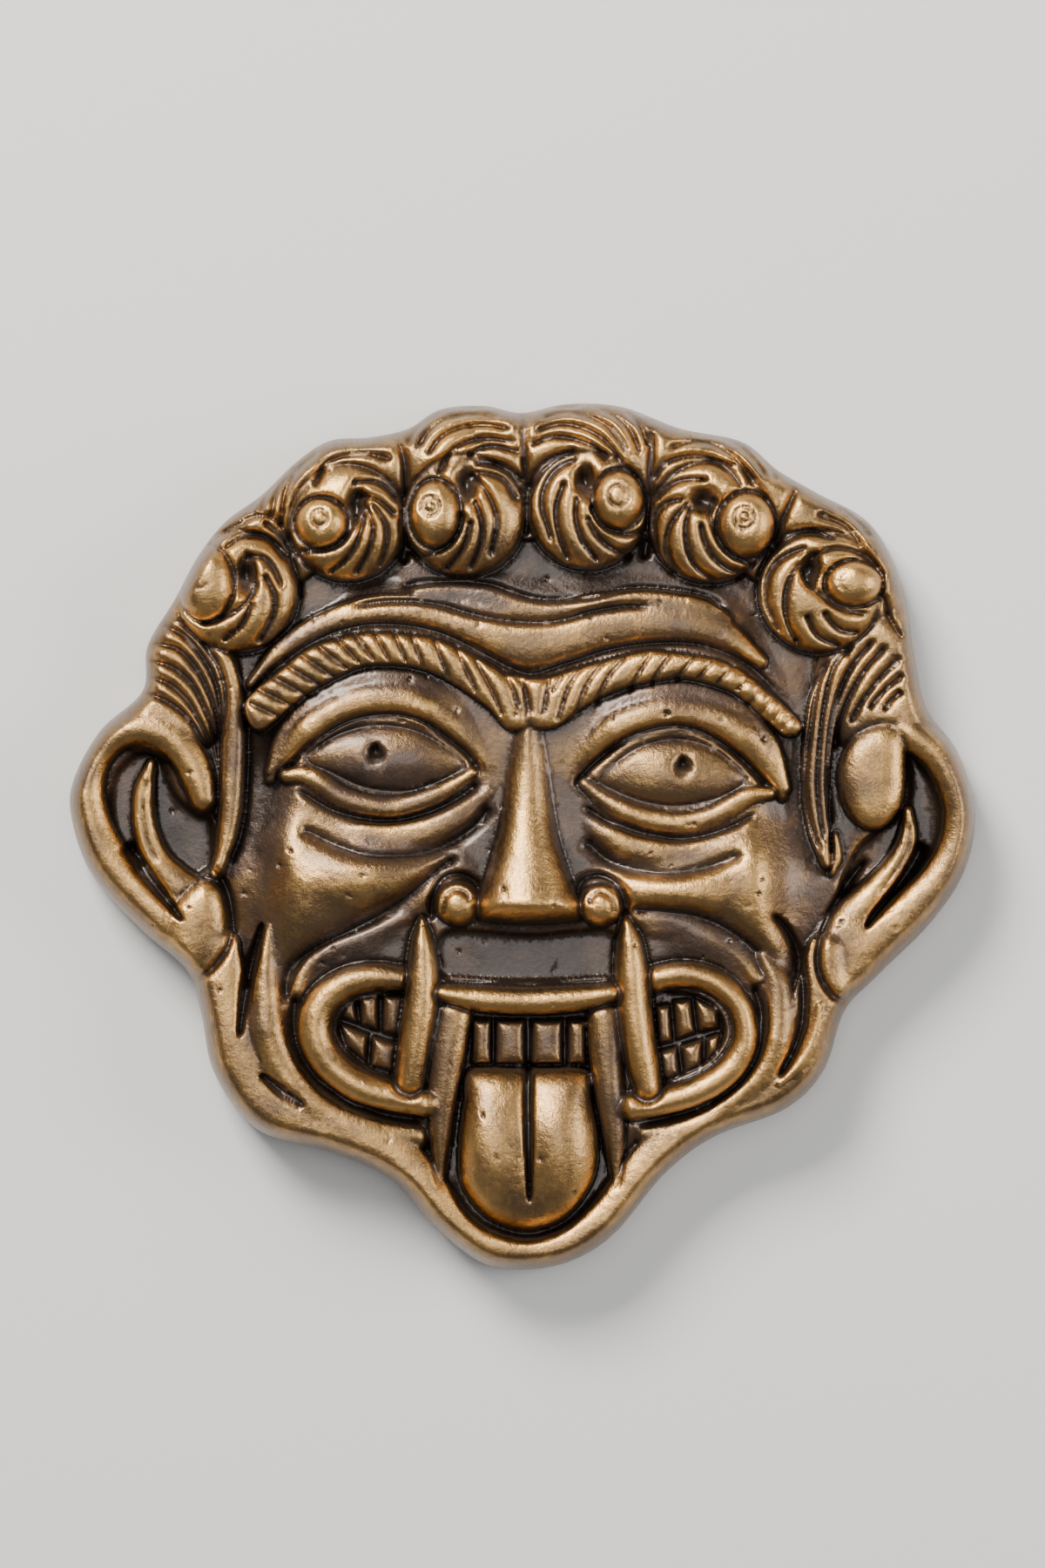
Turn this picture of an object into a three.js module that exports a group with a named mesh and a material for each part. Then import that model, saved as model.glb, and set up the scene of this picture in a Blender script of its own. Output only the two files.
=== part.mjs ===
// Gorgon mask: a brass ornament cast in one piece, a face in high relief with a flat back.
// Millimetres. The face looks along +Z with its crown along +Y, and +X is the viewer's right.
// The origin is the middle of the flat back.
import * as THREE from "three";

// Driving dimensions
const MASK_WIDTH = 103.6; // across both ears; the drawing below is scaled to it
const EDGE_HEIGHT = 3.2; // upright border of the casting
const EDGE_ROUND = 4.2; // how far in from the border the carving reaches its full height
const FACETS = 9300; // most triangles on the carved side

// Heights above the back
const RIM_GROUND = 6.4; // plain ground out at the ears
const FACE_GROUND = 9.2; // plain ground in the middle of the face
const HAIR_MASS = 12; // hair that sweeps up from the curls to the border
const CURL_TOP = 12.6;
const KNOB_TOP = 13.4; // the smooth knob in each curl
const BROW_MUSCLE = 10.8;
const BROW_TOP = 12.6;
const LID_TOP = 12.2;
const EYE_TOP = 11.6;
const BAG_TOP = 11.2;
const NOSE_ROOT = 12.2;
const NOSE_TIP = 16.8;
const NOSTRIL_TOP = 13.8;
const CHEEK_RISE = 3.8; // over the ground
const LIP_PLATE = 9.2;
const LIP_TOP = 12.8;
const MOUTH_FLOOR = 7.8;
const TEETH_TOP = 10.2;
const FANG_TOP = 13.6;
const TONGUE_TOP = 13.2;
const FOLD_TOP = 12.2; // folds of skin round the mouth
const JAW_TOP = 11.2;
const TEMPLE_TOP = 10;
const EAR_TOP = 10.4;
const EAR_FLOOR = 6;

// Depths of the chased lines
const LOCK_CUT = 1.5;
const BROW_CUT = 1.2;
const CREASE_CUT = 2.6;
const WRINKLE_CUT = 1.3;
const SOCKET_CUT = 2;
const PUPIL_CUT = 1.8;

// The grid that the face is carved on
const PITCH = 0.25;
const HALF_X = 53;
const HALF_Y = 51;
const COLUMNS = Math.round((2 * HALF_X) / PITCH) + 1;
const ROWS = Math.round((2 * HALF_Y) / PITCH) + 1;

// The border, anticlockwise from the parting of the hair. The drawing is in millimetres at full size.
const OUTLINE = [
  [-0.2, 48.6], [-4.5, 49.4], [-9.5, 49], [-13.2, 46.8], [-17.5, 45.8], [-22.2, 45.4], [-26, 43],
  [-30, 39.2], [-34.2, 36.1], [-37.2, 32.3], [-40, 27.2], [-43.1, 21.9], [-43.7, 16.7], [-48.5, 12.2],
  [-51.6, 6.5], [-51.8, 2], [-49.5, -4.3], [-44, -10.5], [-38.6, -15.3], [-37, -20], [-35.4, -27.2],
  [-30.4, -33.6], [-22, -36.1], [-15.2, -39.2], [-10, -44.8], [-5, -48.7], [-0.2, -49.6], [5.5, -48.6],
  [10.5, -45.4], [16.2, -38.6], [22, -34.3], [30, -31.2], [34.4, -26.8], [36.8, -20], [40.5, -16],
  [46.8, -9.7], [50.6, -3.8], [51.8, 3], [49.8, 9.7], [46.2, 14.8], [44.8, 21], [43.4, 29],
  [39.8, 35.8], [33.5, 39.5], [29.2, 42], [25, 45.3], [18, 46.8], [11.2, 49.3], [5, 49.6],
];

// A curl is a round bun of hair beside a smooth knob, with a mass of hair that reaches further out. Each
// line between two of its locks is an arm of a logarithmic spiral: [angle and radius at its outer end,
// angle and radius at its inner end], with angles in degrees from the knob's far side and radii as shares
// of the bun's radius.
const FACE_MIDDLE_Y = 12; // the masses of hair point away from here
const LEFT = 1;
const RIGHT = -1;
const CURLS = [
  {
    hand: LEFT, x: -32.5, y: 28, radius: 6.9, mass: 10.4, knob: [-35.7, 28.8, 3, 4.3],
    locks: [
      [-136, 0.8, -100, 0.22], [-106, 0.8, -66, 0.4], [-66, 0.88, 20, 0.46],
      [22, 0.76, 72, 0.6], [36, 1, 108, 0.76], [24, 1.12, 108, 1.06],
    ],
  },
  {
    hand: LEFT, x: -19.8, y: 35.8, radius: 6.5, mass: 10.2, knob: [-22.6, 35.6, 3.1, 2.9],
    locks: [
      [-150, 0.95, -80, 0.3], [-116, 0.93, -40, 0.26], [-84, 0.86, 20, 0.3], [-54, 0.93, 40, 0.46],
      [17, 0.76, 64, 0.44], [41, 1, 78, 0.74], [63, 1.3, 128, 0.94],
    ],
  },
  {
    hand: LEFT, x: -6.5, y: 37, radius: 6.8, mass: 12.8, knob: [-10, 37, 3.1, 4],
    locks: [
      [-146, 1.08, -100, 0.25], [-112, 0.9, -88, 0.2], [-84, 0.84, 45, 0.28], [-54, 0.82, 54, 0.48],
      [14, 0.78, 64, 0.64], [24, 0.92, 68, 0.74], [38, 1.08, 84, 0.88], [51, 1.33, 96, 0.94],
      [64, 1.56, 120, 1.14], [70, 1.74, 128, 1.28], [88, 1.84, 134, 1.48],
    ],
  },
  {
    hand: RIGHT, x: 7.2, y: 37.5, radius: 6.7, mass: 12.8, knob: [10.8, 38.3, 2.9, 3.4],
    locks: [
      [-152, 0.95, -120, 0.18], [-130, 1, -64, 0.26], [-98, 0.92, 30, 0.26], [-66, 0.88, 50, 0.48],
      [-34, 0.95, 78, 0.78], [34, 1.22, 76, 0.96], [52, 1.5, 110, 0.92], [58, 1.64, 128, 1],
      [64, 1.8, 132, 1.18], [68, 1.94, 138, 1.32],
    ],
  },
  {
    hand: RIGHT, x: 21.2, y: 35, radius: 6.6, mass: 12, knob: [25.2, 35.3, 3.3, 3.3],
    locks: [
      [-139, 0.88, -100, 0.25], [-118, 0.86, -20, 0.2], [-86, 0.92, 44, 0.42], [-46, 0.96, 44, 0.56],
      [12, 0.96, 58, 0.7], [28, 1.1, 84, 0.86], [50, 1.38, 136, 1.02], [66, 1.56, 140, 1.22],
      [112, 1.56, 160, 1.36],
    ],
  },
  {
    hand: RIGHT, x: 33.5, y: 28, radius: 7.2, mass: 10.8, knob: [37.5, 28.8, 3.4, 2.7],
    locks: [
      [-162, 0.82, -50, 0.16], [-138, 0.93, -110, 0.46], [-117, 0.93, -74, 0.5],
      [-68, 0.9, 50, 0.5], [-42, 0.95, 74, 0.64], [28, 0.98, 102, 0.82], [60, 1.26, 134, 1.16],
    ],
  },
];
const LOCK_WIDTH = 0.75;

// The locks of hair at the temples. The lines between them fan out from the first drawn to the last.
const TEMPLES = [
  {
    band: [[-36.6, 22.6], [-34.8, 19.6], [-33.2, 14], [-32.8, 8], [-33, 2], [-34.5, -3]],
    first: [[-41.4, 25.7], [-38.2, 24], [-34.8, 19.4]],
    last: [[-43.6, 18.5], [-38.6, 15.8], [-35.2, 11.5]],
    cuts: 5,
  },
  {
    band: [[37, 22.4], [34.4, 18.6], [32.8, 12], [32.8, 5], [33.3, 0], [34.4, -4]],
    first: [[40.2, 23.6], [35.9, 19], [33.7, 11.6]],
    last: [[43.6, 17.6], [41.8, 16.2], [40.9, 14.4]],
    cuts: 6,
  },
];

// The deep creases where one curl meets the next
const CREASES = [
  [[0, 48.5], [-0.2, 44], [0.3, 39], [0.5, 35]],
  [[-14.8, 46.5], [-13.4, 41.5], [-13.5, 36], [-14.2, 31.5]],
  [[-29, 39], [-26.6, 36.4], [-25.7, 32], [-25.3, 27]],
  [[14.6, 47], [14.6, 41], [14.4, 35.5], [13.6, 31.5]],
  [[31, 40], [29.4, 36.5], [28, 32.5], [26.2, 29]],
];

const FOREHEAD = {
  wrinkles: [
    [
      [-14, 28.3], [-10, 29.1], [-4, 28.8], [0, 27.4], [4, 26.9], [10, 27.8], [14, 28.3], [20, 27.5],
      [23.5, 25.8],
    ],
    [[-19.5, 26.2], [-15, 26.9], [-10, 26.5], [-4, 24.9], [1, 24.4], [5, 24.8], [10, 26], [14.5, 26.3]],
  ],
  folds: [
    [
      [-14, 27], [-10, 27.7], [-4, 27.4], [0, 26], [4, 25.5], [10, 26.4], [14, 26.9], [20, 26.1],
      [23.5, 24.4],
    ],
  ],
  foldWidth: 1.5,
  muscle: [
    [-31.5, 16.5], [-27, 20.8], [-22, 23.8], [-16, 25.3], [-10, 24.9], [-5, 23.4], [0, 22.3], [5, 22.9],
    [10, 24], [16, 24.4], [23, 23],
  ],
  muscleWidth: [0.6, 1.1, 1.3, 1.3, 1.5, 2.1, 2.6, 2.5, 2.3, 2, 0.8],
  recess: [
    [-30.5, 16.4], [-27, 19.3], [-23, 21.9], [-19, 23.4], [-15, 24], [-11, 23.6], [-7, 22.1], [-3, 20.2],
    [1, 18.9], [5, 19.7], [10, 21.3], [16, 22], [21, 21.4], [26, 18.8], [31, 13.8],
  ],
};

// The two sides of the face are cut by hand and differ, so each has its own drawing. A brow runs from
// its outer end to the nose, and an eyelid from its outer corner to the nose.
const BROWS = [
  {
    spine: [
      [-30.4, 15.2], [-25, 18.8], [-20, 20.9], [-15, 21.5], [-11, 20.8], [-6.5, 18.6], [-2, 15.5],
      [0.2, 13],
    ],
    halfWidth: [0.6, 1.1, 1.6, 1.75, 1.85, 2.2, 2.3, 1.6],
  },
  {
    spine: [
      [30.8, 12.8], [27, 16.2], [22, 19], [16, 19.5], [12, 18.8], [7.5, 17.4], [3.2, 15.2], [1.6, 12.5],
    ],
    halfWidth: [0.5, 1, 1.4, 1.6, 1.8, 2.3, 2.2, 1.4],
  },
];
const BROW_CUTS = 16;
const BROW_CUT_WIDTH = 0.7;
const BROW_LEAN = 0.06; // how far each end of a cut is moved along the brow, at the nose
const EYES = [
  {
    lid: [
      [-28.2, 7], [-25.5, 12.2], [-22, 14.7], [-16.5, 15.9], [-12, 15.5], [-8, 13.5], [-5, 10.5],
      [-2.8, 7],
    ],
    lidLine: [[-26.5, 8], [-22, 12.5], [-17, 14.2], [-12, 13.9], [-8, 12], [-4.4, 7.4]],
    socket: [[-30.5, 11], [-27, 15], [-22, 17.6], [-16, 18.8], [-10, 17.8], [-5, 14.4], [-3, 11.5]],
    ball: [
      [-25.5, 8.8], [-21.5, 11.6], [-16.5, 12.7], [-11, 11.9], [-5.5, 8.2], [-11, 5.6], [-17, 5],
      [-21.5, 6.2],
    ],
    pupil: [-16.8, 9.3],
    lower: [[-28, 6.3], [-24.5, 6], [-21, 4.1], [-16, 3.1], [-12, 3.5], [-8, 5.2], [-5, 7]],
    lowerLine: [[-26.5, 4.6], [-22, 2.9], [-16.5, 1.8], [-12, 2.1], [-7.5, 3.9], [-4.6, 6]],
    bag: [[-27, 3.6], [-23, 1], [-17, -0.3], [-11, 0.2], [-7, 2.2], [-4, 5]],
    bagLine: [[-27.5, 1], [-23, -1.6], [-17, -2.6], [-11, -2], [-6.5, 0], [-3.6, 3]],
  },
  {
    lid: [[4.2, 5.5], [5.2, 9], [8, 11.7], [12, 13.6], [18, 14.3], [23, 13.3], [28, 10.3], [30.5, 6]],
    lidLine: [[5.5, 5.5], [8, 8.7], [12, 11.6], [17, 12.8], [22, 11.9], [26, 8.7], [28.4, 5.8]],
    socket: [[2.8, 10], [5.5, 13], [10, 16], [17, 17], [23, 16], [28, 13], [31, 9.5]],
    ball: [[8.5, 6], [12.5, 10.1], [17.5, 11.4], [22, 10.3], [25.8, 6.7], [22, 4.5], [17.5, 4], [12.5, 4.4]],
    pupil: [18.1, 8],
    lower: [[6.4, 5.6], [10, 3.4], [14, 2.4], [18, 2.1], [22, 3], [25.5, 4.6], [28.8, 5.6]],
    lowerLine: [[7.5, 3.2], [12, 1.1], [17.5, 0.3], [22.5, 1], [27, 3.2]],
    bag: [[6.2, 2.6], [9, 0.2], [13, -1.5], [18, -2], [23, -1], [27.5, 1.6]],
    bagLine: [[6.6, -0.4], [10, -3], [16, -4.3], [22, -3.6], [27, -1]],
  },
];

const NOSE = [
  [0.2, 12.4], [-1.6, 10], [-2.4, 5], [-3, 0], [-3.8, -4], [-5.2, -6.8], [-5.4, -9], [-4, -9.7], [0.3, -9.8],
  [4.6, -9.8], [5.8, -9.2], [5.8, -7], [4.6, -4], [3.7, 0], [3, 5], [2, 10],
];
const NOSE_TOP_Y = 11;
const NOSE_TIP_Y = -6.6;
const NOSE_MIDDLE = 0.4;
const NOSE_FLAT = 1.4; // half the width of its flat top
const NOSE_SLOPE = 0.55;
const NOSTRILS = [
  {
    ball: [-7.4, -7.6, 2.4, 2.4], wing: [[-7.4, -8.3], [-4.4, -8.3]],
    scroll: [[-10.2, -9.4], [-10.2, -6.6], [-8.6, -4.8], [-6.4, -4.7], [-4.9, -6.4]],
  },
  {
    ball: [8.4, -7.8, 2.5, 2.5], wing: [[8.4, -8.5], [5, -8.5]],
    scroll: [[11.3, -9.6], [11.3, -6.8], [9.6, -5], [7.2, -4.9], [5.6, -6.8]],
  },
];
const SCROLL_CUT = 1.8;

// The mouth is a wide grin: a loop of lip at each corner, a fang inside each, and a hanging tongue.
const MOUTHS = [
  {
    lip: [
      [-13.5, -16.2], [-17, -15.7], [-20.8, -16.5], [-23.8, -18.7], [-24.8, -21.6], [-24, -24.8],
      [-21, -27.8], [-16, -30], [-10.5, -29.6],
    ],
    floor: [
      [-11, -18.5], [-16.5, -18], [-20.5, -19.2], [-22, -21.5], [-20.8, -24.4], [-17.5, -27],
      [-11, -28.8],
    ],
    teeth: [
      [-21.7, -18.8, -19.4, -21.9], [-19.1, -18.4, -16.6, -22.5], [-16.3, -18.4, -13.3, -23],
      [-20.6, -22.7, -17.9, -25.8], [-17.6, -23.2, -14.4, -27],
    ],
    fang: [[-11.3, -9.6], [-11.2, -14], [-11.5, -19], [-12.2, -24], [-13.2, -27]],
    fangWidth: [0.4, 1.3, 1.7, 1.9, 1.9],
    bar: [[-7.5, -20], [-8, -24], [-8.8, -29], [-9.2, -34], [-9, -40.5]],
    barWidth: [1.6, 1.5, 1.3, 1, 0.7],
    fold: [[-28.5, -10], [-29.6, -16], [-29.8, -21.5], [-27.4, -27.6], [-23, -31.4], [-17, -34.3]],
    crease: [
      [-12, -10.6], [-20, -13.2], [-25.4, -16], [-27.4, -20.5], [-26.4, -25], [-23, -29], [-17, -32.3],
      [-11, -33],
    ],
    outerCut: [[-29.9, -10], [-31.2, -15], [-32, -19], [-32.2, -23]],
  },
  {
    lip: [
      [14.5, -16.2], [18.5, -15.2], [22, -15.9], [24.6, -18], [25.2, -21.2], [24.4, -24.6],
      [21.8, -27.6], [18, -29.7], [12.8, -30.2],
    ],
    floor: [
      [12.8, -18.5], [17.8, -17.8], [21.6, -18.6], [22.8, -21], [22, -24], [19.4, -26.6], [12.8, -28.5],
    ],
    teeth: [
      [14.7, -19, 16.6, -23.5], [16.9, -18.4, 19.1, -22.9], [19.4, -18.4, 22.2, -22.1],
      [14.8, -24.4, 17.2, -27.4], [17.5, -23.8, 20.4, -26.6],
    ],
    fang: [[11.7, -9.6], [12.2, -14], [12.5, -19], [13.1, -24], [14, -27.4]],
    fangWidth: [0.4, 1.7, 2, 2, 1.8],
    bar: [[9, -20], [9.3, -24], [10, -29], [10.3, -34], [9.6, -41]],
    barWidth: [1.4, 1.4, 1.3, 1.1, 0.8],
    fold: [
      [16, -9.2], [22, -10.6], [26.8, -13.6], [29.2, -18], [29.4, -22], [27.4, -25.8], [23, -29.6],
      [18, -32.5],
    ],
    crease: [
      [13.5, -11.6], [19, -11.9], [23.8, -13.4], [26.4, -16.2], [27.4, -20], [26.6, -23.8],
      [24.3, -27.2], [20, -30.6], [14, -32.6],
    ],
    outerCut: [[29.3, -8.5], [30.6, -12], [31.6, -17], [31.8, -21], [31, -24.5], [28.8, -28]],
  },
];
const FRONT_TEETH = [[-5.8, -3.2], [-2.8, 0.5], [0.9, 4.4], [4.8, 7.2]]; // left and right side of each
const FRONT_TEETH_Y = [-20.6, -25.8];
const TONGUE = [
  [-6, -26.3], [0.6, -26.3], [7.2, -26.3], [7.9, -30], [8.5, -34.5], [7.9, -39], [5, -43.2], [0.5, -44.7],
  [-4, -43.3], [-7.2, -39.6], [-7.5, -35.5], [-6.8, -30.5],
];
const UPPER_LIP_PLATE = [[-8.8, -10.2], [0.5, -10.4], [10.2, -10.2], [10.2, -16], [0.5, -17], [-9.2, -16]];
const UPPER_LIP = [[-9.6, -16.6], [-4, -18.2], [1.5, -18.5], [7.6, -18.2], [11.2, -16.8]];
const MOUTH = [
  [-9, -19], [9.5, -19], [11, -30], [10.6, -41], [6.5, -45.4], [0.4, -46], [-6, -45.2], [-9.8, -40],
  [-9.8, -30],
];

// The viewer's left ear curls in to a knob above and hangs in a lobe below. The right one is a wide band
// round a flat disc.
const EARS = [
  {
    bowl: [
      [-46.5, 7.5], [-43, 10.5], [-39.6, 8.5], [-39.5, 3], [-37.5, -1], [-36, -6], [-38.5, -8.5], [-42, -6],
      [-45.2, -2], [-47, 2.5],
    ],
    antihelix: [
      [[-44, 6], [-44.6, 2], [-43.6, -2], [-41.6, -5], [-38.8, -9]],
      [[-41, 8], [-42, 4], [-41.5, 0], [-39.5, -3], [-36, -5.6]],
    ],
    rim: [
      [-36.8, 5.5], [-37.2, 9], [-39.2, 11.5], [-42.5, 12.7], [-46, 11.2], [-48.5, 7.5], [-49, 2],
      [-47, -3.5], [-43, -8.2], [-38.5, -10.8],
    ],
    rimWidth: [1.9, 1.9, 2.1, 2.3, 2.3, 2.4, 2.5, 3, 3.3, 3.2],
    disc: [-37.6, -11.4, 3.9, 3.9],
    discPower: 2,
  },
  {
    bowl: [
      [43.5, 9.5], [47, 7], [47.6, 1.5], [46, -4], [41.5, -8.6], [37, -11], [36, -8], [39.5, -4.5], [42, 0],
      [43, 5],
    ],
    antihelix: [
      [[46, 5], [46, 0.5], [43.8, -4], [40.5, -7.6]],
      [[43.5, 1.2], [42, -3], [39, -7], [35.5, -10.6]],
    ],
    rim: [
      [38.5, 11.3], [43, 12.6], [47, 10.4], [49.5, 6], [49.7, 1], [48.2, -4], [45.6, -7.6], [42, -10.8],
      [38.2, -13.8],
    ],
    rimWidth: [1.6, 2.1, 2.3, 2.2, 2.1, 2.3, 2.4, 2.2, 1.8],
    disc: [39.6, 6.6, 3.9, 5.1],
    discPower: 6,
  },
];
const JAW = [
  [-32.5, -12], [-32.5, -20], [-30.5, -27], [-24, -32], [-17, -34.8], [-12.4, -38], [-9, -42], [-5, -45.6],
  [0, -47], [5, -46.3], [10, -42.6], [14, -37.5], [18, -33.8], [25, -30], [30.5, -26], [33, -20], [33, -12],
];
const JAW_HALF_WIDTH = [3, 4, 4.2, 3.8, 3.2, 2.8, 2.6, 2.4, 2.3, 2.4, 2.6, 2.8, 3.2, 3.8, 4.2, 4, 3];

// Interpolates a value that is one number, or several spread evenly along a line
function along(value, share) {
  if (!Array.isArray(value)) return value;
  const place = Math.min(Math.max(share, 0), 1) * (value.length - 1);
  const index = Math.min(Math.floor(place), value.length - 2);
  return value[index] + (value[index + 1] - value[index]) * (place - index);
}

// A smooth line through the points, as pairs of numbers
const SAMPLES = 8; // for each span
const BORDER_SAMPLES = 4;
function spline(points, closed = false, samples = SAMPLES) {
  const corners = points.map(([x, y]) => new THREE.Vector3(x, y, 0));
  const curve = new THREE.CatmullRomCurve3(corners, closed, "catmullrom", 0.5);
  const spans = closed ? points.length : points.length - 1;
  return curve.getPoints(spans * samples).map((point) => [point.x, point.y]);
}

const field = new Float32Array(COLUMNS * ROWS);
const nearest = new Float32Array(COLUMNS * ROWS);
const sharesAlong = new Float32Array(COLUMNS * ROWS);

const cellAt = (x, y) => Math.round((y + HALF_Y) / PITCH) * COLUMNS + Math.round((x + HALF_X) / PITCH);

// Visits each cell of the carving grid in a box that reaches past the given points
function eachCell(points, reach, visit) {
  const xs = points.map((point) => point[0]);
  const ys = points.map((point) => point[1]);
  const column = (x) => Math.round((x + HALF_X) / PITCH);
  const row = (y) => Math.round((y + HALF_Y) / PITCH);
  const lastColumn = Math.min(COLUMNS - 1, column(Math.max(...xs) + reach));
  const lastRow = Math.min(ROWS - 1, row(Math.max(...ys) + reach));
  for (let j = Math.max(0, row(Math.min(...ys) - reach)); j <= lastRow; j += 1)
    for (let i = Math.max(0, column(Math.min(...xs) - reach)); i <= lastColumn; i += 1)
      visit(j * COLUMNS + i, i * PITCH - HALF_X, j * PITCH - HALF_Y);
}

// Calls work(cell, distance, share of the length) for the cells nearer to the line than reach
function nearLine(line, reach, work) {
  nearest.fill(reach);
  for (let i = 1; i < line.length; i += 1) {
    const [ax, ay] = line[i - 1];
    const dx = line[i][0] - ax;
    const dy = line[i][1] - ay;
    const squared = dx * dx + dy * dy || 1;
    eachCell([line[i - 1], line[i]], reach, (cell, x, y) => {
      const t = Math.min(Math.max(((x - ax) * dx + (y - ay) * dy) / squared, 0), 1);
      const gapX = x - ax - t * dx;
      const gapY = y - ay - t * dy;
      const gap = Math.sqrt(gapX * gapX + gapY * gapY);
      if (gap >= nearest[cell]) return;
      nearest[cell] = gap;
      sharesAlong[cell] = (i - 1 + t) / (line.length - 1);
    });
  }
  eachCell(line, reach, (cell, x, y) => {
    if (nearest[cell] < reach) work(cell, nearest[cell], sharesAlong[cell], x, y);
  });
}

// Calls work(cell, distance to the closed line, at most reach) for the cells inside it
function insideLine(line, reach, work) {
  const distance = new Map();
  nearLine([...line, line[0]], reach, (cell, gap) => distance.set(cell, gap));
  eachCell(line, 0, (cell, x, y) => {
    let inside = false;
    for (let i = 0, j = line.length - 1; i < line.length; j = i, i += 1) {
      const [xi, yi] = line[i];
      const [xj, yj] = line[j];
      if (yi > y !== yj > y && x < xi + ((y - yi) / (yj - yi)) * (xj - xi)) inside = !inside;
    }
    if (inside) work(cell, distance.get(cell) ?? reach, x, y);
  });
}

// Quarter round: 0 at a share of 0, upright there, and level at 1
const rounded = (share) => Math.sqrt(Math.max(0, 1 - (1 - share) ** 2));
const eased = (share) => share * share * (3 - 2 * share);

// A rounded rope along a line, standing at its crest and lower by drop at its sides
function roll(points, halfWidth, crest, drop) {
  const widest = Array.isArray(halfWidth) ? Math.max(...halfWidth) : halfWidth;
  nearLine(spline(points), widest, (cell, gap, share) => {
    const half = along(halfWidth, share);
    if (gap >= half) return;
    field[cell] = Math.max(field[cell], along(crest, share) - drop * (1 - rounded(1 - gap / half)));
  });
}

// Chased lines, sharp at the bottom, that run out at both ends. Where they meet, the deeper one counts.
const RUN_OUT = 8;
function grooves(lines, halfWidth, depth, power = 2) {
  const cuts = new Map();
  for (const line of lines)
    nearLine(line, halfWidth, (cell, gap, share) => {
      const fade = Math.min(1, share * RUN_OUT, (1 - share) * RUN_OUT);
      const cut = depth * fade * (1 - gap / halfWidth) ** power;
      cuts.set(cell, Math.max(cut, cuts.get(cell) ?? 0));
    });
  for (const [cell, cut] of cuts) field[cell] -= cut;
}

function groove(points, halfWidth, depth) {
  grooves([spline(points)], halfWidth, depth);
}

// A dome on an ellipse; a higher power gives a flatter top with steeper sides
function dome([x, y, radiusX, radiusY], foot, top, power = 2) {
  const corners = [[x - radiusX, y - radiusY], [x + radiusX, y + radiusY]];
  eachCell(corners, 0, (cell, cellX, cellY) => {
    const out = Math.hypot((cellX - x) / radiusX, (cellY - y) / radiusY);
    if (out >= 1) return;
    field[cell] = Math.max(field[cell], foot + (top - foot) * Math.sqrt(1 - out ** power));
  });
}

// A soft swelling of the ground
function swell([x, y, radiusX, radiusY], rise) {
  const corners = [[x - radiusX, y - radiusY], [x + radiusX, y + radiusY]];
  eachCell(corners, 0, (cell, cellX, cellY) => {
    const out = Math.hypot((cellX - x) / radiusX, (cellY - y) / radiusY);
    if (out < 1) field[cell] += rise * (1 - out * out) ** 2;
  });
}

// A round hollow with sloping sides
function hollow([x, y, radiusX, radiusY], depth) {
  const corners = [[x - radiusX, y - radiusY], [x + radiusX, y + radiusY]];
  eachCell(corners, 0, (cell, cellX, cellY) => {
    const out = Math.hypot((cellX - x) / radiusX, (cellY - y) / radiusY);
    if (out < 1) field[cell] -= depth * eased(1 - out);
  });
}

// Brings the ground inside a closed line to one level, over a slope at its edge
function settle(points, level, slope) {
  insideLine(spline(points, true), slope, (cell, gap) => {
    field[cell] += (level - field[cell]) * eased(gap / slope);
  });
}

// A raised shape with a rounded edge
function plate(line, level, edge, drop) {
  insideLine(line, edge, (cell, gap, x, y) => {
    const top = typeof level === "function" ? level(x, y) : level;
    field[cell] = Math.max(field[cell], top - drop * (1 - rounded(gap / edge)));
  });
}

function ground() {
  const corners = [[-HALF_X, -HALF_Y], [HALF_X, HALF_Y]];
  eachCell(corners, 0, (cell, x, y) => {
    const out = Math.min(1, Math.hypot(x, y) / HALF_Y);
    field[cell] = FACE_GROUND + (RIM_GROUND - FACE_GROUND) * out * out;
  });
}

function curlSpiral(curl, [outerAngle, outerRadius, innerAngle, innerRadius]) {
  const line = [];
  for (let i = 0; i <= 2 * SAMPLES; i += 1) {
    const share = i / (2 * SAMPLES);
    const angle = THREE.MathUtils.degToRad(outerAngle + (innerAngle - outerAngle) * share);
    const radius = curl.radius * outerRadius * (innerRadius / outerRadius) ** share;
    line.push([curl.x + curl.hand * radius * Math.cos(angle), curl.y + radius * Math.sin(angle)]);
  }
  return line;
}

function curls() {
  const MASS_FOOT = 7;
  const MASS_MARGIN = 0.3;
  const BUN_FOOT = 7;
  const KNOB_MOAT = 0.7;
  const PIT_CUT = 2.4;
  for (const { x, y, radius, mass } of CURLS) {
    const out = new THREE.Vector2(x, y - FACE_MIDDLE_Y).normalize().multiplyScalar(mass - radius);
    roll([[x, y], [x + out.x, y + out.y]], radius + MASS_MARGIN, HAIR_MASS, HAIR_MASS - MASS_FOOT);
  }
  for (const crease of CREASES) groove(crease, 1.3, CREASE_CUT);
  for (const curl of CURLS) {
    const { x, y, radius, hand, knob } = curl;
    dome([x, y, radius, radius], BUN_FOOT, CURL_TOP, 3);
    hollow([x + hand * 0.1 * radius, y + 0.2 * radius, 0.5 * radius, 0.5 * radius], PIT_CUT);
    hollow([knob[0], knob[1], knob[2] + KNOB_MOAT, knob[3] + KNOB_MOAT], 2 * PIT_CUT);
    dome(knob, BUN_FOOT, KNOB_TOP, 3);
    grooves(curl.locks.map((lock) => curlSpiral(curl, lock)), LOCK_WIDTH, LOCK_CUT, 1);
  }
}

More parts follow.
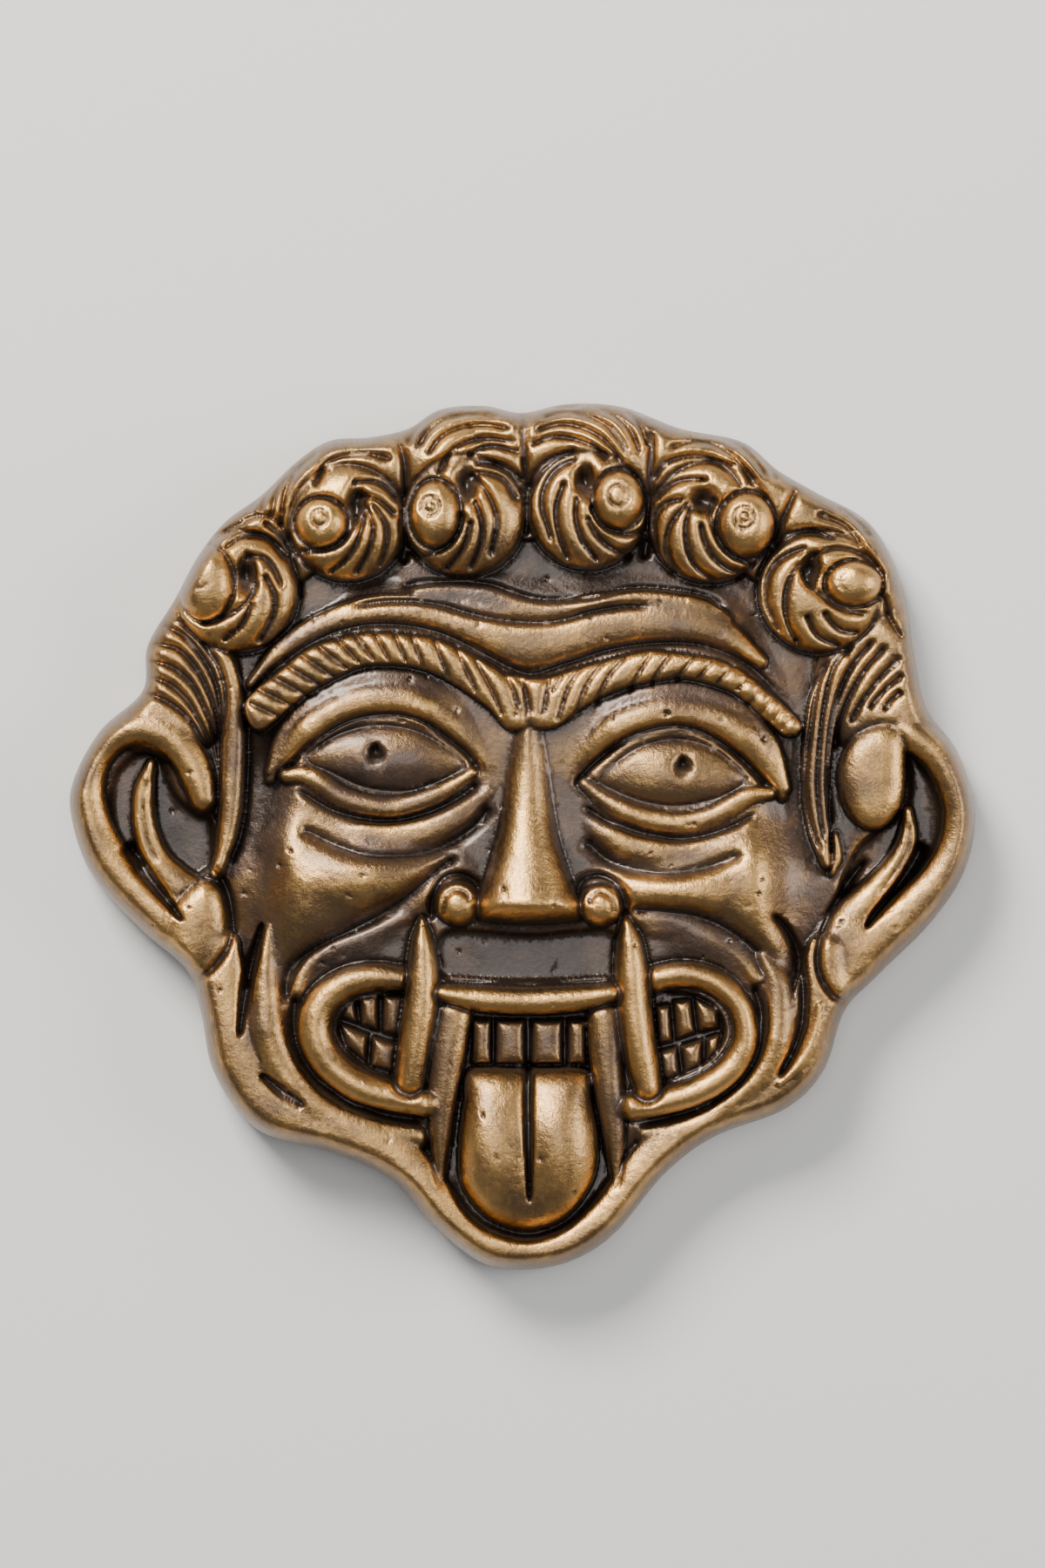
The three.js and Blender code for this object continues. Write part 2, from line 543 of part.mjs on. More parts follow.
function forehead() {
  for (const fold of FOREHEAD.folds) roll(fold, FOREHEAD.foldWidth, BROW_MUSCLE - 0.6, 1.2);
  roll(FOREHEAD.muscle, FOREHEAD.muscleWidth, BROW_MUSCLE, 1.6);
  for (const wrinkle of FOREHEAD.wrinkles) groove(wrinkle, 1.1, WRINKLE_CUT);
  groove(FOREHEAD.recess, 1.5, SOCKET_CUT);
}

// A rope-like brow, with slanting cuts that lean towards the nose
function brow({ spine, halfWidth }) {
  roll(spine, halfWidth, BROW_TOP, 3);
  const line = spline(spine);
  const spot = (share, side) => {
    const index = Math.min(line.length - 2, Math.max(0, Math.round(share * (line.length - 1))));
    const [x, y] = line[index];
    const forward = new THREE.Vector2(line[index + 1][0] - x, line[index + 1][1] - y).normalize();
    const out = side * along(halfWidth, share) * Math.sign(forward.x);
    return [x - forward.y * out, y + forward.x * out];
  };
  const cuts = [];
  for (let i = 1; i <= BROW_CUTS; i += 1) {
    const share = i / (BROW_CUTS + 1);
    const lean = BROW_LEAN * (0.4 + share);
    cuts.push(spline([spot(share - lean, 1), spot(share, 0.2), spot(share + lean, -1)]));
  }
  grooves(cuts, BROW_CUT_WIDTH, BROW_CUT, 1);
}

function eye({ lid, lidLine, socket, ball, pupil, lower, lowerLine, bag, bagLine }) {
  groove(socket, 1.8, SOCKET_CUT);
  settle(ball, EYE_TOP - 2.6, 1.2);
  roll(lid, [0.8, 1.4, 1.7, 1.8, 1.8, 1.7, 1.5, 1], LID_TOP, 2.6);
  roll(lower, [0.6, 1.1, 1.2, 1.2, 1.2, 1.1, 0.7], LID_TOP - 0.6, 2.2);
  roll(bag, [0.6, 1.2, 1.4, 1.4, 1.2, 0.6], BAG_TOP, 2);
  groove(lidLine, 1.1, SOCKET_CUT);
  groove(lowerLine, 0.8, WRINKLE_CUT);
  groove(bagLine, 1.2, WRINKLE_CUT);
  plate(spline(ball, true), EYE_TOP, 3.6, 2.2);
  hollow([...pupil, 1.5, 1.5], PUPIL_CUT);
}

// A narrow, flat-topped ridge that widens to a straight-edged tip with a scroll at each side
function nose() {
  for (const { ball, wing, scroll } of NOSTRILS) {
    groove(scroll, 1.2, SCROLL_CUT);
    dome(ball, LIP_PLATE, NOSTRIL_TOP, 3);
    roll(wing, 1.3, NOSTRIL_TOP, 3);
  }
  const level = (x, y) => {
    const down = Math.min(1, Math.max(0, (NOSE_TOP_Y - y) / (NOSE_TOP_Y - NOSE_TIP_Y)));
    const slope = Math.max(0, Math.abs(x - NOSE_MIDDLE) - NOSE_FLAT) * NOSE_SLOPE;
    return NOSE_ROOT + (NOSE_TIP - NOSE_ROOT) * down ** 1.6 - slope;
  };
  plate(spline(NOSE, true), level, 2, 3.4);
}

function cheeks() {
  swell([-24.5, -7, 13, 12], CHEEK_RISE);
  swell([25, -6.5, 13, 12], CHEEK_RISE);
}

const rectangle = (left, top, right, bottom) => [[left, top], [right, top], [right, bottom], [left, bottom]];

function tooth(box, level = TEETH_TOP) {
  plate(rectangle(...box), level, 0.9, 1.2);
}

function mouthCorner({ lip, floor, teeth, fang, fangWidth, bar, barWidth, fold, crease, outerCut }) {
  roll(fold, [1.4, 2.2, 2.2, 2.2, 2, 1.2], FOLD_TOP, 2);
  groove(crease, 1.7, 2.6);
  groove(outerCut, 1.4, 3.4);
  settle(floor, MOUTH_FLOOR, 1);
  for (const box of teeth) tooth(box);
  roll(lip, [0.9, 1.3, 1.5, 1.5, 1.5, 1.5, 1.5, 1.4, 1], LIP_TOP, 3);
  roll(fang, fangWidth, [FANG_TOP - 1.2, FANG_TOP - 0.2, FANG_TOP, FANG_TOP, FANG_TOP - 1], 3.4);
  roll(bar, barWidth, [LIP_TOP - 0.6, LIP_TOP - 0.6, LIP_TOP - 1, LIP_TOP - 1.6, LIP_TOP - 2.6], 3);
}

function tongue() {
  const middle = -35;
  const sag = 0.018;
  const level = (x, y) => TONGUE_TOP - sag * (y - middle) ** 2;
  plate(spline(TONGUE, true), level, 3, 3.4);
  groove([[0.6, -25.4], [0.6, -33], [0.6, -42]], 0.9, 1.6);
}

function mouth() {
  settle(UPPER_LIP_PLATE, LIP_PLATE, 0.9);
  settle(MOUTH, MOUTH_FLOOR, 1);
  for (const corner of MOUTHS) mouthCorner(corner);
  roll(UPPER_LIP, [0.9, 1.6, 1.6, 1.6, 0.9], LIP_TOP, 2.6);
  const [top, bottom] = FRONT_TEETH_Y;
  for (const [left, right] of FRONT_TEETH) tooth([left, top, right, bottom]);
  tongue();
}

function ears() {
  for (const { bowl, antihelix, rim, rimWidth, disc, discPower } of EARS) {
    settle(bowl, EAR_FLOOR, 1.3);
    roll(antihelix[0], [0.4, 0.8, 0.8, 0.8, 0.6], EAR_TOP - 2.5, 1.6);
    roll(antihelix[1], [0.7, 1.2, 1.3, 1.3, 1.2], EAR_TOP - 1.4, 2.3);
    roll(rim, rimWidth, EAR_TOP, 3);
    dome(disc, EAR_FLOOR, EAR_TOP + 0.2, discPower);
  }
}

function temples() {
  for (const { band, first, last, cuts } of TEMPLES) {
    dome([first[0][0] + Math.sign(first[0][0]), 18, 8.5, 9.5], RIM_GROUND, TEMPLE_TOP, 5);
    roll(band, [0.8, 1.3, 1.5, 1.5, 1.4, 0.9], TEMPLE_TOP + 0.6, 2.4);
    const lines = Array.from({ length: cuts }, (_, i) => {
      const share = i / (cuts - 1);
      return spline(first.map(([x, y], k) => [x + (last[k][0] - x) * share, y + (last[k][1] - y) * share]));
    });
    grooves(lines, LOCK_WIDTH, LOCK_CUT, 1);
  }
}

function jaw() {
  roll(JAW, JAW_HALF_WIDTH, JAW_TOP, 2.4);
}

// Softens every step between the forms, as casting does
function soften(passes) {
  for (let pass = 0; pass < passes; pass += 1)
    for (const stride of [1, COLUMNS]) {
      const before = field.slice();
      for (let cell = stride; cell < field.length - stride; cell += 1)
        field[cell] = (before[cell - stride] + 2 * before[cell] + before[cell + stride]) / 4;
    }
}

// The carved side as a mesh of triangles over the plan. It starts as a fan inside the border, and takes
// in the point of the carving that each triangle misses by most, until its facets are spent. Edges are
// turned after each point so that the triangles stay as near to even-sided as they can (Delaunay).
class CarvedMesh {
  constructor(border, surface, steepness) {
    this.surface = surface;
    this.steepness = steepness;
    this.points = [...border.map(([x, y]) => [x, y, EDGE_HEIGHT]), [0, 0, surface[cellAt(0, 0)]]];
    this.corners = []; // point numbers, three to a triangle, anticlockwise
    this.across = []; // for the edge that starts at each corner, the same edge seen from the other side
    const count = border.length;
    for (let i = 0; i < count; i += 1) {
      this.corners.push(i, (i + 1) % count, count);
      this.across.push(-1, 3 * ((i + 1) % count) + 2, 3 * ((i + count - 1) % count) + 1);
    }
  }

  get size() {
    return this.corners.length / 3;
  }

  corner(edge) {
    return this.points[this.corners[edge]];
  }

  link(edge, other) {
    this.across[edge] = other;
    if (other >= 0) this.across[other] = edge;
  }

  // The carved point under a triangle that stands furthest off it: [miss, x, y, z, triangle]
  worstPoint(triangle) {
    const [a, b, c] = [0, 1, 2].map((k) => this.corner(3 * triangle + k));
    const area = turn(a, b, c);
    let worst = [0];
    eachCell([a, b, c], 0, (cell, x, y) => {
      const shareA = turn(b, c, [x, y]) / area;
      const shareB = turn(c, a, [x, y]) / area;
      const shareC = 1 - shareA - shareB;
      if (Math.min(shareA, shareB, shareC) < CLEAR_OF_EDGE) return;
      const flat = shareA * a[2] + shareB * b[2] + shareC * c[2];
      const care = y > HAIR_FOOT_Y && Math.hypot(x, y) > FACE_RADIUS ? HAIR_CARE : 1;
      const miss = (care * Math.abs(this.surface[cell] - flat)) / this.steepness[cell];
      if (miss > worst[0]) worst = [miss, x, y, this.surface[cell], triangle];
    });
    return worst;
  }

  // Walks from a triangle to the one that holds the point
  find(point, triangle) {
    for (let step = 0; step < this.size; step += 1) {
      const edge = [0, 1, 2]
        .map((k) => 3 * triangle + k)
        .find((e) => turn(this.corner(e), this.corner(nextEdge(e)), point) < 0);
      if (edge === undefined) return triangle;
      if (this.across[edge] < 0) return -1;
      triangle = Math.floor(this.across[edge] / 3);
    }
    return -1;
  }

  insert(point, near) {
    const triangle = this.find(point, near);
    if (triangle < 0) return;
    const edges = [0, 1, 2].map((k) => 3 * triangle + k);
    const sides = edges.map((e) => Math.abs(turn(this.corner(e), this.corner(nextEdge(e)), point)));
    if (Math.min(...sides) < LEAST_AREA) return;
    const [a, b, c] = edges.map((e) => this.corners[e]);
    const [, outB, outC] = edges.map((e) => this.across[e]);
    const added = this.points.push(point) - 1;
    const second = this.corners.length;
    const third = second + 3;
    this.corners[edges[2]] = added;
    this.corners.push(b, c, added, c, a, added);
    this.link(second, outB);
    this.link(third, outC);
    this.link(edges[1], second + 2);
    this.link(second + 1, third + 2);
    this.link(third + 1, edges[2]);
    for (const edge of [edges[0], second, third]) this.settleEdge(edge);
  }

  // Turns an edge that would give thinner triangles than the other way across its four corners
  settleEdge(edge) {
    const other = this.across[edge];
    if (other < 0) return;
    const [next, last] = [nextEdge(edge), nextEdge(nextEdge(edge))];
    const [otherNext, otherLast] = [nextEdge(other), nextEdge(nextEdge(other))];
    const far = this.corner(otherLast);
    if (!insideCircle(this.corner(edge), this.corner(next), this.corner(last), far)) return;
    const outer = [this.across[otherNext], this.across[otherLast], this.across[next]];
    const [end, apex, opposite] = [this.corners[next], this.corners[last], this.corners[otherLast]];
    this.corners[next] = opposite;
    this.corners[other] = opposite;
    this.corners[otherNext] = end;
    this.corners[otherLast] = apex;
    this.link(edge, outer[0]);
    this.link(other, outer[1]);
    this.link(otherNext, outer[2]);
    this.link(next, otherLast);
    this.settleEdge(edge);
    this.settleEdge(other);
  }

  refine(facets) {
    while (this.size < facets) {
      const room = (facets - this.size) / 2;
      const worst = Array.from({ length: this.size }, (_, triangle) => this.worstPoint(triangle));
      const missed = worst.filter(([miss]) => miss > LEAST_MISS).sort((a, b) => b[0] - a[0]);
      const batch = missed.slice(0, Math.ceil(Math.min(room, this.size * BATCH_SHARE)));
      const before = this.size;
      for (const [, x, y, z, triangle] of batch) this.insert([x, y, z], triangle);
      if (this.size === before) return;
    }
  }
}

const CLEAR_OF_EDGE = 0.04; // share of a triangle's height kept between a new point and its edges
const LEAST_AREA = 0.004; // twice the area, in square millimetres, of the smallest triangle made
const LEAST_MISS = 0.01;
// Above this height and outside this circle the facets follow the finer carving of the hair more closely
const HAIR_FOOT_Y = 12;
const FACE_RADIUS = 31;
const HAIR_CARE = 1.5;
const BATCH_SHARE = 0.16; // points added before the triangles are measured again
const nextEdge = (edge) => (edge % 3 === 2 ? edge - 2 : edge + 1);
const turn = (a, b, c) => (b[0] - a[0]) * (c[1] - a[1]) - (b[1] - a[1]) * (c[0] - a[0]);

// Whether a point lies inside the circle through three others
function insideCircle(a, b, c, point) {
  const rows = [a, b, c].map(([x, y]) => {
    const dx = x - point[0];
    const dy = y - point[1];
    return [dx, dy, dx * dx + dy * dy];
  });
  return new THREE.Matrix3().set(...rows.flat()).determinant() > 1e-7;
}

// The carving with its edge rounded down to the border
function roundedSurface(border, round) {
  const surface = new Float32Array(COLUMNS * ROWS).fill(EDGE_HEIGHT);
  const gaps = new Float32Array(COLUMNS * ROWS).fill(round);
  nearLine([...border, border[0]], round, (cell, gap) => (gaps[cell] = gap));
  insideLine(border, round, (cell) => {
    surface[cell] = EDGE_HEIGHT + (field[cell] - EDGE_HEIGHT) * rounded(gaps[cell] / round);
  });
  return surface;
}

// How much longer than wide the surface is at each cell
function steepnessOf(surface) {
  const steepness = new Float32Array(surface.length).fill(1);
  for (let cell = COLUMNS; cell < surface.length - COLUMNS; cell += 1) {
    const riseX = (surface[cell + 1] - surface[cell - 1]) / (2 * PITCH);
    const riseY = (surface[cell + COLUMNS] - surface[cell - COLUMNS]) / (2 * PITCH);
    steepness[cell] = Math.hypot(1, riseX, riseY);
  }
  return steepness;
}

// The casting: carved side, upright border and flat back
function casting() {
  ground();
  temples();
  curls();
  forehead();
  cheeks();
  jaw();
  EYES.forEach(eye);
  BROWS.forEach(brow);
  mouth();
  nose();
  ears();
  soften(2);

  const border = spline(OUTLINE, true, BORDER_SAMPLES).slice(1);
  const xs = border.map((point) => point[0]);
  const ys = border.map((point) => point[1]);
  const scale = MASK_WIDTH / (Math.max(...xs) - Math.min(...xs));
  const surface = roundedSurface(border, EDGE_ROUND / scale);
  const mesh = new CarvedMesh(border, surface, steepnessOf(surface));
  mesh.refine(FACETS);

  const vertices = mesh.points.map(([x, y, z]) => [x * scale, y * scale, z]);
  const faces = [...mesh.corners];
  const count = border.length;
  const foot = vertices.length;
  border.forEach(([x, y], i) => {
    const next = (i + 1) % count;
    vertices.push([x * scale, y * scale, 0]);
    faces.push(i, foot + i, foot + next, i, foot + next, next);
  });
  const back = THREE.ShapeUtils.triangulateShape(border.map(([x, y]) => new THREE.Vector2(x, y)), []);
  for (const [a, b, c] of back) faces.push(foot + a, foot + c, foot + b);

  const geometry = new THREE.BufferGeometry();
  geometry.setAttribute("position", new THREE.Float32BufferAttribute(vertices.flat(), 3));
  geometry.setIndex(faces);
  geometry.computeVertexNormals();
  const middleX = (scale * (Math.max(...xs) + Math.min(...xs))) / 2;
  const middleY = (scale * (Math.max(...ys) + Math.min(...ys))) / 2;
  geometry.translate(-middleX, -middleY, 0);
  return geometry;
}

const antiqueBrass = new THREE.MeshStandardMaterial({
  name: "antique_brass",
  color: 0x8a6a3c,
  metalness: 1,
  roughness: 0.36,
});

const mask = new THREE.Mesh(casting(), antiqueBrass);
mask.name = "gorgon_mask";

const part = new THREE.Group();
part.name = "gorgon_mask_part";
part.add(mask);

export default part;
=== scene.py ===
"""A cast brass gorgon mask, with its chased face and hair, its patina, and a plain stage for it.

Every length in the drawing of the face is in millimetres at full size, and is scaled to the solid.
"""

import math

import bpy
import numpy as np
from bpy.props import FloatProperty, FloatVectorProperty, IntProperty, PointerProperty
from bpy.types import Operator, Panel, PropertyGroup
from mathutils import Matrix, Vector


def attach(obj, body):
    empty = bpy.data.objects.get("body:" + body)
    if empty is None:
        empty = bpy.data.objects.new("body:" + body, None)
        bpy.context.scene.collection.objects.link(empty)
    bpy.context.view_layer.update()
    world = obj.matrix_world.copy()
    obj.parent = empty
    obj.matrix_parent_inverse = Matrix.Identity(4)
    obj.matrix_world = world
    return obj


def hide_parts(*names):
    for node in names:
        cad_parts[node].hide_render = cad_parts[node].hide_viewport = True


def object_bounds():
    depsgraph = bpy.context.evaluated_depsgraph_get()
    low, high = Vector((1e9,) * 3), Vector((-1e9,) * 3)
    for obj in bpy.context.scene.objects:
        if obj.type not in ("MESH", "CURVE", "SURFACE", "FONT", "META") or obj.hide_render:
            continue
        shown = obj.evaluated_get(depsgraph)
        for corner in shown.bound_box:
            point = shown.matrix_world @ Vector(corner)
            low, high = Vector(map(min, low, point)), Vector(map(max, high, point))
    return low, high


bl_info = {
    "name": "Gorgon Mask",
    "version": (1, 0, 0),
    "blender": (4, 5, 0),
    "location": "3D View > Sidebar > Gorgon Mask",
    "description": "A cast brass gorgon face with curled hair, fangs and a hanging tongue",
    "category": "Add Mesh",
}

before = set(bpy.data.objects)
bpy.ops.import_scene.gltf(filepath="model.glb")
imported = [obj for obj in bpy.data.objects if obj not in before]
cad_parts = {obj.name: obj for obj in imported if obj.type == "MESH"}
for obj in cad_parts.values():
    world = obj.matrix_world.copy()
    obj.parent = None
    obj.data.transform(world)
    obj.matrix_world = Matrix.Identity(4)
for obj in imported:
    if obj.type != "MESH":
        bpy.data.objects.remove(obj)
CAD_LOW, CAD_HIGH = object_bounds()
MM = 0.001

# Heights above the back, in millimetres
EDGE_HEIGHT = 3.2
RIM_GROUND = 6.4
FACE_GROUND = 9.2
FACE_LEVEL = 10.6
HAIR_MASS = 12
MASS_FOOT = 7
BUN_FOOT = 9.2
CURL_TOP = 12.6
KNOB_TOP = 13.4
BROW_MUSCLE = 10.8
BROW_TOP = 12.6
LID_TOP = 12.2
EYE_TOP = 11.6
BAG_TOP = 11.2
NOSE_ROOT = 12.2
NOSE_TIP = 16.8
NOSTRIL_TOP = 13.8
LIP_PLATE = 9.2
LIP_TOP = 12.8
MOUTH_FLOOR = 7.8
TEETH_TOP = 10.2
FANG_TOP = 13.6
TONGUE_TOP = 12.3
TONGUE_SAG = 0.016  # how fast it curves down from its middle, one over millimetres
TONGUE_MIDDLE_Y = -35
FOLD_TOP = 12.2
JAW_TOP = 11.2
TEMPLE_TOP = 10
EAR_TOP = 10.4
EAR_FLOOR = 6

# Depths and rises, in millimetres
PIT_DEPTH = 2.8  # the hollow beside each knob
RING_DEPTH = 0.5  # the punched rings on the knobs
CHEEK_RISE = 2.356
LOBE_RISE = 1.6  # the two lobes of the tongue
SCROLL_CUT = 1.4  # the line round each wing of the nose
UNDERCUT = 0.35  # how fast the nose falls away under its tip

# The drawing's grid and how it is cut, in millimetres
PITCH = 0.1
HALF_X = 53  # it reaches this far to the left and the right
HALF_Y = 51  # and this far up and down
SAMPLES = 12  # points for each span of a curve
MOAT_WIDTH = 0.6  # the cut round a raised form
STRAND_POWER = 1.2  # how full the strands of hair are: a quarter round to this power
STRAND_REACH = 0.6  # how far the lines between strands run on past their drawn ends
NO_LENGTH = 1e-12  # a span whose square is less counts as a point
RUN_OUT = 20  # a chased line reaches its full depth over one part in this many of its length

# The drawing of the face, seen from in front: x to the right and y up, from the middle of the mask.
# A line is its points, an oval is x, y and its two radii, and a width is half that of the form, spread
# evenly along its line.
OUTLINE = [
    [-0.2, 48.6], [-4.5, 49.4], [-9.5, 49], [-13.2, 46.8], [-17.5, 45.8], [-22.2, 45.4], [-26, 43],
    [-30, 39.2], [-34.2, 36.1], [-37.2, 32.3], [-40, 27.2], [-43.1, 21.9], [-43.7, 16.7], [-48.5, 12.2],
    [-51.6, 6.5], [-51.8, 2], [-49.5, -4.3], [-44, -10.5], [-38.6, -15.3], [-37, -20], [-35.4, -27.2],
    [-30.4, -33.6], [-22, -36.1], [-15.2, -39.2], [-10, -44.8], [-5, -48.7], [-0.2, -49.6], [5.5, -48.6],
    [10.5, -45.4], [16.2, -38.6], [22, -34.3], [30, -31.2], [34.4, -26.8], [36.8, -20], [40.5, -16],
    [46.8, -9.7], [50.6, -3.8], [51.8, 3], [49.8, 9.7], [46.2, 14.8], [44.8, 21], [43.4, 29],
    [39.8, 35.8], [33.5, 39.5], [29.2, 42], [25, 45.3], [18, 46.8], [11.2, 49.3], [5, 49.6],
]
FACE_FIELD = [
    [-31, 13], [-28.5, 18.5], [-25, 24], [-20, 28.4], [-12, 30.4], [-4, 30.4], [1, 29.6], [8, 30],
    [16, 29.6], [24, 27.4], [28, 22], [30.5, 16], [31.2, 10], [30.5, 3], [31, -3], [31, -8],
    [32.5, -13], [33, -22], [30, -30], [22, -34], [14, -37], [10, -44], [0, -47],
    [-8, -43], [-12, -36], [-20, -33], [-28, -28],
    [-32.5, -22], [-32, -13], [-30, -6], [-31, 0], [-29.5, 6], [-31.2, 10],
]
FACE_MIDDLE_Y = 12  # the masses of hair point away from here
